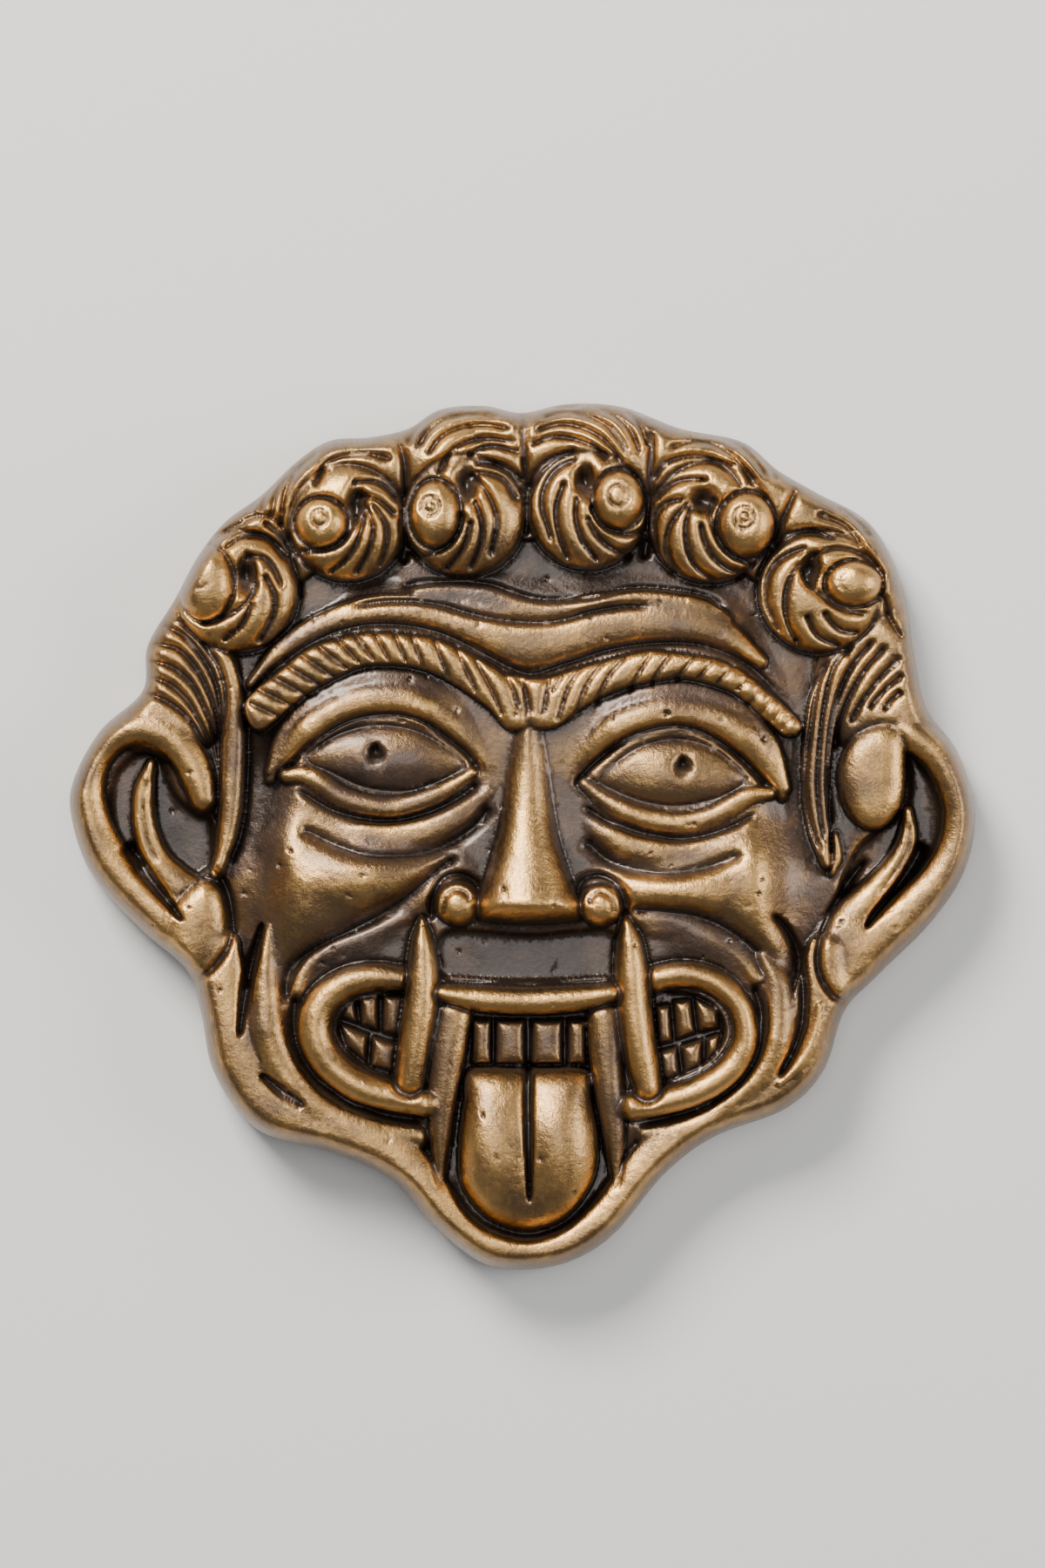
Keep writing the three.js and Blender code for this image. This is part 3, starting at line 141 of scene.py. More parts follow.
# Each curl: the middle and radius of its bun, how far from there the mass of hair behind it reaches,
# the ovals of its knob and of the hollow beside that, and the lines between its locks
CURLS = [
    {
        "x": -32.6, "y": 28, "radius": 7, "mass": 10.6, "knob": [-36, 28.8, 3.3, 4.4],
        "pit": [-31.5, 29.7, 1.8, 3.4],
        "locks": [
            [[-36.2, 24.4], [-34.5, 24.8], [-32.5, 25.8], [-31, 27.2], [-30.4, 28.8]],
            [[-33.8, 22.6], [-32.4, 23.7], [-31.5, 25], [-31.1, 26.2]],
            [[-30, 22.4], [-28.8, 24.2], [-28.2, 26.2], [-28.4, 28], [-29.2, 29.4]],
            [[-33.7, 33], [-32, 34.1], [-30, 34.4], [-28.5, 33.7], [-27.2, 32]],
            [[-31.7, 36], [-30, 36.6], [-28.2, 36], [-26.7, 34.3], [-25.9, 32.3]],
            [[-31.2, 31.9], [-29.7, 31.8], [-28.5, 30.7], [-27.6, 28.8]],
            [[-35.8, 33], [-33.8, 34.9], [-32, 35.6]],
        ],
    },
    {
        "x": -20, "y": 35.8, "radius": 6.7, "mass": 10.4, "knob": [-22.9, 35.7, 3.1, 3],
        "pit": [-19, 37.6, 1.9, 3.3],
        "locks": [
            [[-25, 32.5], [-22.5, 32.7], [-20.8, 33.4], [-19.7, 34.6], [-19.1, 36.2]],
            [[-21.9, 30.2], [-20.3, 31.4], [-19.2, 32.9], [-18.5, 34.6], [-18.1, 36.3]],
            [[-19, 30.2], [-18, 31.7], [-17.3, 33.5], [-17.1, 35.4], [-17.7, 37.2]],
            [[-16.3, 31], [-15.7, 32.7], [-15.5, 34.5], [-16, 36.2], [-17, 37.6]],
            [[-14.9, 36.8], [-16.2, 38], [-17.6, 38.6], [-18.6, 38.8]],
            [[-14.6, 38.8], [-16, 40], [-17.5, 40.4], [-19, 40.3]],
            [[-23.5, 40.2], [-22.9, 42], [-21.5, 43], [-19.5, 43.5], [-17.2, 43.5], [-15.4, 43]],
            [[-27.5, 35.6], [-27.4, 38], [-26.8, 40], [-25.5, 42], [-23.8, 43.5]],
            [[-28.6, 36.8], [-28.2, 38.8], [-27.3, 40.4], [-26, 41.9]],
            [[-29.7, 37.5], [-29.2, 39], [-28.3, 40.3], [-27.2, 41.5]],
            [[-31, 37.5], [-30.3, 38.6], [-29.4, 39.6]],
        ],
    },
    {
        "x": -6.7, "y": 36.6, "radius": 7, "mass": 12.8, "knob": [-10, 36.7, 3, 4],
        "pit": [-6.5, 40, 2, 3.2],
        "locks": [
            [[-12.9, 32.7], [-11.7, 32], [-10, 32.3], [-8.5, 33.2], [-7.4, 34.7], [-6.9, 36.4]],
            [[-8.6, 30.7], [-7.3, 32.2], [-6.5, 33.8], [-6.1, 35.5]],
            [[-6, 30.7], [-5.1, 32.7], [-4.7, 34.6], [-4.9, 36.4], [-5.4, 37.8]],
            [[-3.7, 32.2], [-3.2, 34.5], [-3.1, 36.4], [-3.7, 38.3], [-4.7, 39.9], [-5.7, 41]],
            [[-0.9, 38.6], [-2, 40.3], [-3.4, 41.1], [-5, 41.4]],
            [[-0.4, 40.8], [-1.7, 41.9], [-3.3, 42.4], [-5, 42.4]],
            [[-6, 43.6], [-4.5, 44.3], [-2.8, 44.4], [-1, 43.9]],
            [[-9.5, 41.5], [-8.9, 43], [-7.6, 44.3], [-5.7, 45.1], [-3.5, 45.3], [-1.2, 44.9]],
            [[-10.6, 43.8], [-9.6, 45.3], [-8, 46.3], [-6, 46.8], [-4, 46.9], [-2, 46.5]],
            [[-11.8, 44.7], [-10.8, 46.2], [-9.4, 47.3], [-7.5, 47.9], [-5.5, 48.1], [-3.5, 47.8]],
            [[-13, 45], [-12.2, 46.4], [-11, 47.5], [-9.4, 48.3]],
        ],
    },
    {
        "x": 7.3, "y": 37.2, "radius": 6.8, "mass": 12.8, "knob": [10.7, 38.3, 3, 3.5],
        "pit": [7, 40.4, 1.8, 3],
        "locks": [
            [[13.5, 34.7], [11.8, 34.4], [10.2, 34.8], [8.7, 35.9], [7.9, 37.2]],
            [[11.8, 32], [10.3, 32.7], [9, 33.6], [8, 34.8], [7.4, 36]],
            [[8.3, 31.6], [6.9, 33.4], [6.2, 35], [5.9, 36.6], [6, 38.2]],
            [[5, 31.8], [4.1, 34.1], [3.7, 36], [3.8, 38], [4.5, 40]],
            [[3.2, 33.8], [2.5, 36], [2.1, 37.5], [2.2, 39.2], [3, 41], [4.3, 42.2], [5.7, 42.8]],
            [[0.8, 40], [1.3, 41.4], [2.4, 42.6], [4, 43.5], [5.5, 43.9]],
            [[1.2, 44.7], [2.7, 45.4], [4.5, 45.5], [6.5, 45], [8.2, 44.2], [9.4, 43.3]],
            [[1.8, 46.3], [3.5, 46.9], [5.5, 46.9], [7.7, 46.1], [9.5, 44.8], [10.8, 43.1]],
            [[2.5, 47.7], [4.3, 48.3], [6.3, 48.2], [8.5, 47.4], [10.2, 46.1], [11.6, 44]],
            [[9, 48.6], [10.8, 47.6], [12.2, 46.1], [13, 44.2]],
            [[12.2, 48], [13.4, 46.6], [14, 44.9]],
        ],
    },
    {
        "x": 21.2, "y": 35.9, "radius": 7, "mass": 11.6, "knob": [25.2, 35.5, 3.4, 3.8],
        "pit": [20.4, 38.2, 2.6, 2.2],
        "locks": [
            [[21.7, 38.3], [21.2, 36.8], [21.5, 35], [22.6, 33.2], [24.1, 31.8], [25.8, 31.1]],
            [[24.7, 30], [23, 30.6], [21.5, 31.9], [20.6, 33.5], [20.2, 35.2]],
            [[21.5, 29.2], [19.9, 30.4], [18.8, 32], [18.4, 34], [18.5, 36], [18.9, 37.2]],
            [[17.3, 30.2], [16.3, 32.2], [16.3, 34.2], [17, 36], [18.4, 37.7]],
            [[15, 33], [14.8, 35.5], [15.2, 37], [16.4, 38], [17.8, 38.3]],
            [[15.3, 38.8], [16.5, 39.9], [18.4, 40.6], [20.5, 40.6]],
            [[15, 40.8], [16, 42.4], [18, 43.2], [20, 43.3], [22, 42.7], [23.5, 41.5], [24.6, 40]],
            [[16.8, 44.3], [19, 44.9], [21.5, 44.7], [23.5, 43.6], [25, 42.1], [26.1, 40.4]],
            [[19.8, 46], [22, 45.8], [24.1, 44.8], [26, 43.2], [27.4, 41.3]],
            [[26.4, 43.8], [27.6, 42.6], [28.6, 41]],
        ],
    },
    {
        "x": 33.7, "y": 28, "radius": 7, "mass": 10.8, "knob": [37.4, 28.8, 3.4, 2.7],
        "pit": [32.6, 30.4, 1.7, 2.8],
        "locks": [
            [[38.5, 25.5], [36.8, 25.7], [35, 26.5], [33.5, 27.7], [32.3, 29], [31.7, 30.5]],
            [[37.6, 23.3], [36.2, 23.5], [35, 24.4], [34.4, 25.2]],
            [[35.5, 21.9], [34, 22.5], [32.9, 23.5], [32.3, 24.8]],
            [[31.2, 21.9], [30.2, 23.8], [29.7, 25.6], [29.7, 27.6], [30.3, 29.5], [31.2, 30.8]],
            [
                [29.3, 23.4], [28, 25.5], [27.5, 27.5], [27.7, 29.5], [28.7, 31.2], [30.2, 32.2],
                [31.8, 32.8],
            ],
            [[28.6, 33], [29.5, 34.2], [31.2, 34.8], [33, 34.8], [35, 34]],
            [[33.8, 36.6], [36, 35.8], [37.2, 34.8], [38.2, 33.6]],
            [[36.2, 37.2], [38, 36], [39.2, 34.5]],
            [[33, 32], [35, 32.8], [37.5, 32.5], [39.5, 31.5], [40.8, 29.8]],
            [[41, 27], [41.4, 25.5], [42.3, 23.8], [42.8, 23]],
        ],
    },
]
KNOB_RINGS = [  # x, y and radius
    [-23.1, 36.2, 0.9], [-10.6, 37.5, 1.1], [-10.6, 37.5, 0.65], [10.8, 38.7, 1.2], [25, 36.2, 1.2],
    [25, 36.2, 0.5],
]
KNOB_MARKS = [
    [[-37.2, 28.5], [-36.4, 28.2], [-35.9, 28.9]], [[-23.1, 35.2], [-23.1, 34.4]],
    [[36.9, 30.3], [36, 29.9], [35.7, 29], [36.1, 28.1], [36.9, 27.8]],
]
LOCK_WIDTH = 0.95  # how far each side of a line its strands are rounded
TEMPLES = [
    {
        "dome": [-40.4, 18, 8.5, 9.5],
        "band": [
            [-36.6, 23.4], [-35.3, 22.2], [-34, 19.4], [-33.1, 15.2], [-33, 11.5], [-33.1, 8], [-33.3, 3.4],
            [-33.8, 0], [-34.9, -4],
        ],
        "band_width": [0.6, 1, 1.3, 1.5, 1.5, 1.5, 1.5, 1.3, 0.7],
        "cuts": [
            [[-40.8, 25.7], [-38.3, 24], [-36.2, 21.9], [-34.5, 19], [-33.9, 16], [-34.3, 12]],
            [[-41.6, 24.4], [-38.7, 23], [-36.6, 20.6], [-35.1, 17.7], [-34.4, 14.3], [-34.3, 10.9]],
            [[-42.6, 22.1], [-39.5, 21.5], [-37.4, 19.4], [-35.8, 16.4], [-34.9, 13.5], [-34.6, 9]],
            [[-42.8, 20.2], [-40, 19.4], [-37.8, 17.5], [-36.3, 14.7], [-35.2, 11.8], [-34.7, 8]],
            [[-43.2, 18.5], [-40.4, 17.5], [-38.3, 15.6], [-36.8, 13], [-35.6, 10.1], [-34.8, 6.7]],
            [[-43.4, 16.6], [-40.8, 15.6], [-38.5, 13.9], [-36.8, 11.4], [-35.5, 8.4], [-34.9, 5]],
            [[-34.8, 12], [-34.7, 8], [-34.8, 3.5], [-35, 0], [-35.3, -2.6]],
            [[-31.7, 15], [-31.4, 11.5], [-31.4, 8], [-31.7, 4], [-32.4, 0], [-33.6, -3]],
        ],
    },
    {
        "dome": [41.2, 18, 8.5, 9.5],
        "band": [
            [36.4, 20.4], [35, 18], [34.1, 15], [33.6, 11.5], [33.3, 8], [33.3, 4], [33.7, 0.4], [34.5, -3],
        ],
        "band_width": [0.8, 1.4, 1.7, 1.7, 1.6, 1.5, 1.2, 0.6],
        "cuts": [
            [[34.8, 20.2], [33.4, 17], [32.7, 13], [32.2, 9], [32, 5.5], [32.5, 2], [33.9, -2]],
            [[37.6, 21.9], [35.3, 19.4], [34.2, 15.2], [33.7, 11], [33.4, 6.7], [33.6, 3.4], [34.2, -0.8]],
            [[40.1, 22.7], [37.6, 19.8], [35.9, 16.4], [35, 13], [34.6, 9.3], [34.6, 5], [35, 0.8]],
            [[41.4, 21.9], [38.8, 19], [36.9, 15.6], [35.9, 12.6], [35.5, 10]],
            [[43, 20.6], [40.5, 18.1], [38.4, 15.2], [37.2, 13]],
            [[43.2, 18.5], [40.9, 16.6], [39.3, 14.6]],
            [[43, 16.6], [41.8, 15.6], [41, 14.4]],
        ],
    },
]
HAIR_BAND = [[-37, 30], [-26.5, 38.5], [-13.5, 43], [0.2, 44], [14.2, 43], [28, 38.5], [38, 30]]
CREASES = [
    [[0, 48.5], [0, 44], [0.4, 39], [0.3, 34]],
    [[-14.8, 46.5], [-13.6, 43], [-13.4, 39], [-13.4, 34], [-13.8, 31]],
    [[-29.6, 36], [-27, 33.5], [-26.2, 31], [-25.8, 27]],
    [[14.6, 46.5], [14.4, 41], [14.2, 35.5], [13.8, 31.5]],
    [[31, 39.6], [29.6, 36.5], [28, 32.5], [26.8, 29]],
]
FOREHEAD = {
    "wrinkles": [
        [
            [-14, 28.3], [-12, 28.9], [-8, 29.1], [-4, 28.8], [-1, 27.8], [2, 27], [5, 27], [8, 27.3],
            [13, 28.3], [20, 27.5], [23.5, 25.8],
        ],
        [
            [-19.5, 26.2], [-16, 26.8], [-12, 26.8], [-9, 26.3], [-6, 25.4], [-2, 24.6], [2, 24.4],
            [5, 24.8], [8, 25.7], [11, 26.2], [14.5, 26.3],
        ],
    ],
    "fold": [
        [-12, 27.8], [-8, 27.8], [-4, 27.2], [-1, 26.2], [2, 25.7], [5, 25.9], [9, 26.7], [14, 27.1],
        [20, 26.1], [23, 24.6],
    ],
    "fold_width": [0.7, 1.1, 1.3, 1.3, 1.3, 1.2, 1.1, 1.2, 1.4, 0.8],
    "muscle": [
        [-31, 17.4], [-27.5, 20.8], [-23.5, 23.3], [-19, 25], [-14.5, 25.5], [-10, 24.8], [-5, 23.4],
        [0, 22], [5, 22.7], [10, 23.8], [16, 24.3], [22, 23.3], [27, 20],
    ],
    "muscle_width": [0.6, 1.5, 1.9, 2, 2.1, 2.2, 2.4, 2.9, 2.8, 2.5, 2.3, 1.9, 0.8],
    "rise": [-0.5, -0.2, 0.1, 0.5, 0.8, 0.6, -0.2],  # of both, over the height of the muscle
    "brow_line": [
        [-31.5, 16.1], [-28.1, 19.3], [-23.9, 22.2], [-19.3, 23.9], [-14.6, 24.2], [-10, 23.4],
        [-5.8, 21.6], [-1.6, 19.3], [1.2, 18.6], [5, 19.8], [10, 21.4], [16, 22.1], [21, 21.6],
        [26, 19.2], [31.2, 14],
    ],
}
BROWS = [
    {
        "shape": [
            [-31.6, 15.4], [-27.3, 19.3], [-23.8, 21.7], [-18.6, 23.1], [-15, 23.2], [-10, 22.5],
            [-5.5, 20.5], [-2, 18.6], [1.4, 17.6], [1.4, 13.2], [-1.6, 12.2], [-4, 14.6],
            [-8, 17.4], [-12, 19.2],
            [-17, 19.5], [-20, 18.7], [-25, 15.9], [-30, 12],
        ],
        "hatching": [
            [[-31.2, 15.3], [-27.6, 13.6]], [[-30.2, 16.9], [-26, 14.8]], [[-28.8, 18.4], [-24.4, 16]],
            [[-27.2, 19.7], [-22.9, 17.1]], [[-25.4, 20.8], [-21.4, 18.1]], [[-23.5, 21.9], [-19.9, 19]],
            [[-21.4, 22.7], [-18.5, 19.7]],
            [[-19.3, 23.2], [-16.9, 20]], [[-17, 23.4], [-15.2, 20]], [[-14.8, 23.4], [-13.3, 19.8]],
            [[-12.8, 23.1], [-11.3, 19.2]], [[-10.2, 22.6], [-8.5, 18]], [[-7.8, 21.8], [-5.3, 16.3]],
            [[-5.7, 20.5], [-3.8, 17], [-2.3, 13.6]], [[-2.5, 19], [-1.4, 17.2], [-0.5, 14.6]],
            [[-0.6, 18.1], [0.2, 16.6], [0.7, 14]],
        ],
    },
    {
        "shape": [
            [0.2, 17.6], [3, 18.2], [7, 19.5], [13, 21], [16, 21.1], [20, 20.6], [23, 19.8], [26, 18],
            [31.5, 13], [29.6, 11.6], [25, 15.6], [22, 17.1], [18, 18], [14, 17.5], [10, 16.4], [7, 14.8],
            [3.4, 12.4], [0.4, 13],
        ],
        "hatching": [
            [[2.9, 18], [2.2, 14]], [[4.4, 18.4], [3.2, 16.5]], [[6.6, 19.4], [5, 16.8], [3.8, 13]],
            [[9.1, 20], [7.2, 17.4], [5.8, 13.8]], [[11.6, 20.6], [9.6, 18.2], [8, 15]],
            [[14.5, 21], [11.8, 16.5]], [[16.8, 21], [14.3, 17.3]], [[19.5, 20.7], [17.2, 17.8]],
            [[21.6, 20.2], [19.7, 17.9]], [[23.9, 19.6], [21.8, 17.3]], [[25.8, 18.4], [24.1, 16.6]],
            [[27.3, 17.2], [25.4, 15]], [[28.6, 16], [26.9, 14]], [[29.7, 15], [28.1, 13]],
            [[30.7, 14], [29.2, 12.1]],
        ],
    },
]
HATCH_WIDTH = 0.65
EYES = [
    {
        "lid": [
            [-28.8, 6.6], [-26.5, 9.7], [-23.8, 12.5], [-19.6, 14.9], [-15.9, 15.6], [-12, 14.9],
            [-7.6, 12], [-4, 7.4],
        ],
        "inner": [
            [-28.3, 6.5], [-26.2, 8.7], [-24, 10.7], [-20.1, 13.1], [-15.9, 14], [-11.7, 13.3],
            [-7.1, 10.1], [-4.7, 7.2],
        ],
        "ball": [
            [-25, 8.8], [-22.7, 10.9], [-20, 12.3], [-16.8, 13], [-13, 12.5], [-9.5, 10.8], [-6.4, 8.3],
            [-9, 6.5], [-12, 5.3], [-15.1, 5], [-18.5, 5.7], [-21.8, 7.3],
        ],
        "pupil": [-16.8, 9.4],
        "lower": [[-27, 7], [-24.3, 6.9], [-20.1, 4.4], [-15.1, 3.3], [-10, 4.8], [-5.8, 7.3]],
        "lower_line": [[-25.8, 5.5], [-21, 2.8], [-15.1, 1.9], [-9.2, 3.4], [-4.8, 6.4]],
        "bag": [[-23.6, 1.6], [-18.4, 0.2], [-12.5, 0.2], [-7.5, 2.4], [-4, 5.2]],
        "bag_line": [[-25.5, 1.2], [-21, -1], [-16.7, -2.1], [-10.4, -1.6], [-5.8, 1], [-3.6, 3.6]],
    },
    {
        "lid": [
            [4.8, 7], [7.5, 10], [11.2, 12.7], [16, 14.1], [20, 13.8], [24, 12], [27.2, 8.8], [29.4, 4.8],
        ],
        "inner": [
            [5.6, 5.8], [8, 8.4], [11.5, 11.2], [16, 12.6], [19.5, 12.3], [23, 10.5], [26.3, 7.4],
            [28.6, 4.6],
        ],
        "ball": [
            [8.6, 6.4], [10.5, 8.6], [13.5, 10.6], [17, 11.5], [20.5, 10.8], [23.2, 9], [25.4, 6.6],
            [23, 4.8], [20, 3.8], [17, 3.4], [13.5, 4], [10.5, 5.2],
        ],
        "pupil": [18.1, 8],
        "lower": [[7, 6], [9.6, 4], [13, 2.4], [17.5, 1.6], [21.5, 2.4], [25.4, 4.6], [28, 5]],
        "lower_line": [[6.8, 3.6], [10, 1.6], [14, 0.2], [18.5, -0.2], [23, 1], [26.5, 2.8]],
        "bag": [[6.6, 2.6], [9, 0.6], [13, -1.2], [17.2, -1.9], [21, -1], [24.6, 0.6]],
        "bag_line": [[6.8, -0.2], [10, -2.8], [15, -4], [20, -3.6], [25, -1.8]],
    },
]
BAG_WIDTH = [0.8, 1.6, 1.8, 1.6, 0.8]
BAG_CREST = [BAG_TOP - 0.7, BAG_TOP + 0.4, BAG_TOP + 0.5, BAG_TOP + 0.4, BAG_TOP - 0.2]
APRON_OFFSET = 0.9  # the fold of skin behind the upper lid lies this far up from it
APRON_WIDTH = [0.6, 2.2, 2.8, 3, 3, 2.8, 2.2, 1]
APRON_CREST = [10.6, 11, 11.4, 11.4, 11.2, 10.8]
LID_WIDTH = [0.6, 1.5, 1.9, 2, 2, 2, 1.7, 0.7]
LID_CREST = [10.2, LID_TOP, LID_TOP, LID_TOP, 10.4]
LOWER_WIDTH = [0.9, 1.2, 1.3, 1.3, 1.2, 0.7]
LOWER_CREST = [LID_TOP - 1.4, LID_TOP - 0.6, LID_TOP - 0.6, LID_TOP - 0.6, LID_TOP - 1]
EYE_HALF_WIDTH = 9.2
EYE_HALF_HEIGHT = 4
EYE_FALL = 1.5  # of the ball, from its top to either of these
PUPIL_RADII = (1.4, 1.5)
DRILL_UP = 0.9  # this far over its middle the pupil is drilled deeper
DRILL_RADII = (0.6, 0.8)
DRILL_DEPTH = 0.6
BURR_DOWN = 0.4  # and this far under it a bump is left standing
BURR_RADII = (0.9, 0.7)
BURR_RISE = 0.7
NOSE = [
    [-1.4, 13], [-2.4, 8.5], [-2.7, 5], [-3, 2], [-3.5, -0.5], [-4.1, -3], [-4.9, -5.6], [-5.4, -7.6],
    [-5.3, -9.3], [-4.4, -9.8], [0.6, -9.9], [5.8, -9.8], [6.7, -9.2], [6.6, -7.6], [5.8, -5.6], [5, -3],
    [4.3, -0.5], [3.9, 2], [3.7, 5], [3.5, 8.5], [2.5, 13], [0.6, 14],
]
NOSE_TOP_Y = 11
NOSE_TIP_Y = -7.4
NOSE_MIDDLE = 0.5
NOSE_FLAT = 1.4  # half the width of its flat top
NOSE_SLOPE = 0.5  # of its sides, beyond that
NOSE_SWEEP = 1.6  # the power of the way down by which it rises to its tip
NOSTRILS = [
    {
        "wing": [-7.4, -7.5, 2.7, 2.6],
        "scroll": [[-10.5, -9.6], [-10.3, -6.8], [-9.1, -4.7], [-7.2, -4.2], [-5.4, -5.2], [-4.9, -7]],
        "coil": [[-9.2, -8.8], [-9, -7], [-7.9, -6], [-6.7, -6.2], [-6, -7.2]],
    },
    {
        "wing": [8.7, -7.7, 2.6, 2.5],
        "scroll": [
            [6, -7.2], [6.4, -5.4], [7.4, -4.5], [9, -4.4], [10.7, -5.4], [11.6, -7.4], [11.6, -9.6],
        ],
        "coil": [[7.4, -7.6], [7.9, -6.5], [9, -6.2], [10.1, -7.2], [10.3, -8.8]],
    },
]
CHEEKS = [[-24, -6, 13, 9.5], [-15, -4.2, 11, 6], [25, -6, 12, 10], [15, -6.2, 10, 5]]
CHEEK_VALLEYS = [
    [[-27, -19], [-26.6, -15.2], [-23.5, -12.6], [-18.5, -10], [-14, -7.4], [-10.6, -4.6], [-7.4, -2]],
    [[28.4, -17], [27.4, -14.2], [24.5, -11.4], [20.5, -9.2], [16, -8.4], [12, -8.2]],
]
VALLEY_WIDTH = [1.6, 2.2, 2.4, 2.4, 2.2, 2, 1.4]
MUZZLE_EDGES = [
    [[-25.8, -18], [-24.6, -15], [-21.8, -12.8], [-17.2, -10.9], [-13.4, -8.9]],
    [[26.4, -16], [23.6, -12.8], [19.4, -10.8], [14.5, -10.4]],
]
MOUTHS = [
    {
        "lip": [
            [-13.7, -16], [-17, -15.8], [-20, -16.5], [-22.5, -18.3], [-23.7, -20.8], [-23.4, -23.5],
            [-21.5, -26.2], [-18.5, -28.3], [-15, -29.4], [-10.7, -30.2],
        ],
        "lip_width": [1.5, 1.7, 1.9, 2, 2.1, 2.1, 2, 1.9, 1.8, 1.7],
        "floor": [
            [-11, -17.8], [-16.5, -17.6], [-19.6, -18.6], [-21.4, -20.6], [-21.2, -23], [-18.8, -25.8],
            [-15, -27.6], [-11, -28.4],
        ],
        "teeth": [
            [[-20.6, -18.9], [-19.2, -18.2], [-18.8, -21.2], [-20.8, -20.5]],
            [[-18.8, -18], [-16.5, -17.8], [-16.4, -22], [-18.5, -21.3]],
            [[-16.1, -17.8], [-13.2, -17.8], [-13.6, -22.8], [-16, -22.1]],
            [[-20.9, -21.1], [-17.6, -22.4], [-17.9, -25.7], [-20.2, -23.8]],
            [[-17.2, -22.6], [-14.1, -23.5], [-14.6, -26.9], [-17.4, -26]],
        ],
        "fang": [
            [-11.5, -9.4], [-11.5, -11.4], [-11.45, -14.5], [-11.5, -18.5], [-12, -22], [-12.5, -25],
            [-12.9, -27.6],
        ],
        "fang_width": [0.5, 1.3, 1.85, 2.15, 2.15, 2, 1.9],
        "bar": [[-7.9, -20], [-8.6, -24], [-9.2, -29], [-9.4, -34], [-9.4, -39]],
        "bar_width": [2.1, 2.2, 1.85, 1.4, 0.6],
        "fold": [
            [-28.8, -10], [-29.2, -14], [-29.3, -18.5], [-28.9, -22.5], [-27, -27], [-23.4, -30.8],
            [-18, -33], [-12.4, -34],
        ],
        "fold_width": [0.8, 1.5, 2, 2.2, 2.3, 2.3, 2.2, 1.8],
        "crease": [
            [-25.8, -17.5], [-26.2, -21], [-25.6, -24], [-23.8, -27.2], [-20.4, -30], [-16, -31.6],
            [-11, -32.2],
        ],
        "outer_cut": [[-29.7, -9.6], [-30.7, -13.5], [-31.6, -17.5], [-32.3, -22.8]],
        "outer_cut_width": [0.3, 0.9, 0.9, 0.4],
    },
    {
        "lip": [
            [14.2, -16.2], [18, -15.5], [21.5, -16.3], [24, -18.4], [25.1, -21], [25, -23.8],
            [23.2, -26.6], [20, -28.7], [16.5, -29.8], [12.2, -30.6],
        ],
        "lip_width": [1.6, 1.6, 1.6, 1.5, 1.5, 1.6, 1.7, 1.7, 1.7, 1.7],
        "floor": [
            [12.8, -18], [17.8, -17.2], [21.4, -18.4], [23.1, -20.8], [23, -23.4], [20.8, -26],
            [17, -27.8], [12.8, -29],
        ],
        "teeth": [
            [[15, -19.2], [16.7, -19], [17, -23.2], [15.2, -23.6]],
            [[17, -18.6], [19.1, -18.3], [19.6, -22.2], [17.4, -23]],
            [[19.4, -18.2], [22.2, -19.4], [22.4, -21.6], [19.9, -22.1]],
            [[15.2, -24.3], [17.5, -23.8], [17.9, -27.1], [15.6, -27.8]],
            [[17.9, -23.7], [20.4, -22.9], [20.3, -26], [18.3, -26.9]],
            [[20.8, -22.8], [22.4, -22.3], [22.1, -24.4], [20.7, -25.6]],
        ],
        "fang": [[11.6, -9], [12, -11.5], [12.3, -15], [12.5, -19], [13, -23], [13.6, -26], [14.1, -28.4]],
        "fang_width": [0.5, 1.5, 2, 2.15, 2.1, 1.95, 1.8],
        "bar": [[9.2, -20.4], [9.4, -24], [9.8, -29], [10.3, -34], [10.5, -39]],
        "bar_width": [2.05, 2.1, 1.8, 1.4, 0.6],
        "fold": [
            [27.2, -13.4], [28.6, -16.4], [29, -20], [28.4, -23.6], [26.4, -27.2], [23, -30.2],
            [19, -32.4], [14, -33.6],
        ],
        "fold_width": [1, 1.8, 2.1, 2.2, 2.2, 2, 1.9, 1.6],
        "crease": [
            [26, -16.6], [27, -19.6], [27.1, -23], [25.4, -26.6], [22, -29.6], [18, -31.5], [12.6, -32.6],
        ],
        "outer_cut": [
            [28.3, -8.7], [30, -10.5], [31.2, -13], [31.8, -17], [31.7, -21], [30.8, -24], [29, -27.4],
        ],
        "outer_cut_width": [0.4, 0.7, 0.8, 0.8, 0.8, 0.6, 0.4],
    },
]
FOLD_CREST = [FACE_LEVEL, FOLD_TOP - 0.8, FOLD_TOP, FOLD_TOP - 0.4, JAW_TOP - 0.1, JAW_TOP - 0.6]
FANG_CREST = [FANG_TOP - 1.4, FANG_TOP - 0.5, FANG_TOP, FANG_TOP, FANG_TOP - 0.4, FANG_TOP - 0.9]
BAR_CREST = [LIP_TOP - 0.8, LIP_TOP - 0.8, LIP_TOP - 1, LIP_TOP - 1.6, LIP_TOP - 2.6]
FRONT_TEETH = [[-5.8, -3.6], [-3.2, 0.2], [0.9, 4.5], [5, 7.2]]  # left and right side of each
FRONT_TEETH_Y = [-20.7, -25.8]  # top and bottom
TONGUE = [
    [-6.2, -26.3], [0.6, -26.1], [7.2, -26.3], [7.9, -30], [8.6, -34.5], [8, -39], [5, -43.3], [0.5, -45],
    [-4, -43.5], [-7, -39.8], [-7.4, -35.5], [-6.9, -30.5],
]
TONGUE_GROOVE = [[0.6, -25.6], [0.5, -30], [0.6, -35], [0.7, -41.5]]
TONGUE_GROOVE_WIDTH = [0.8, 0.8, 0.7, 0.3]
TONGUE_LOBES = [[-3, -35, 5.2, 11], [4, -35, 5.2, 11]]
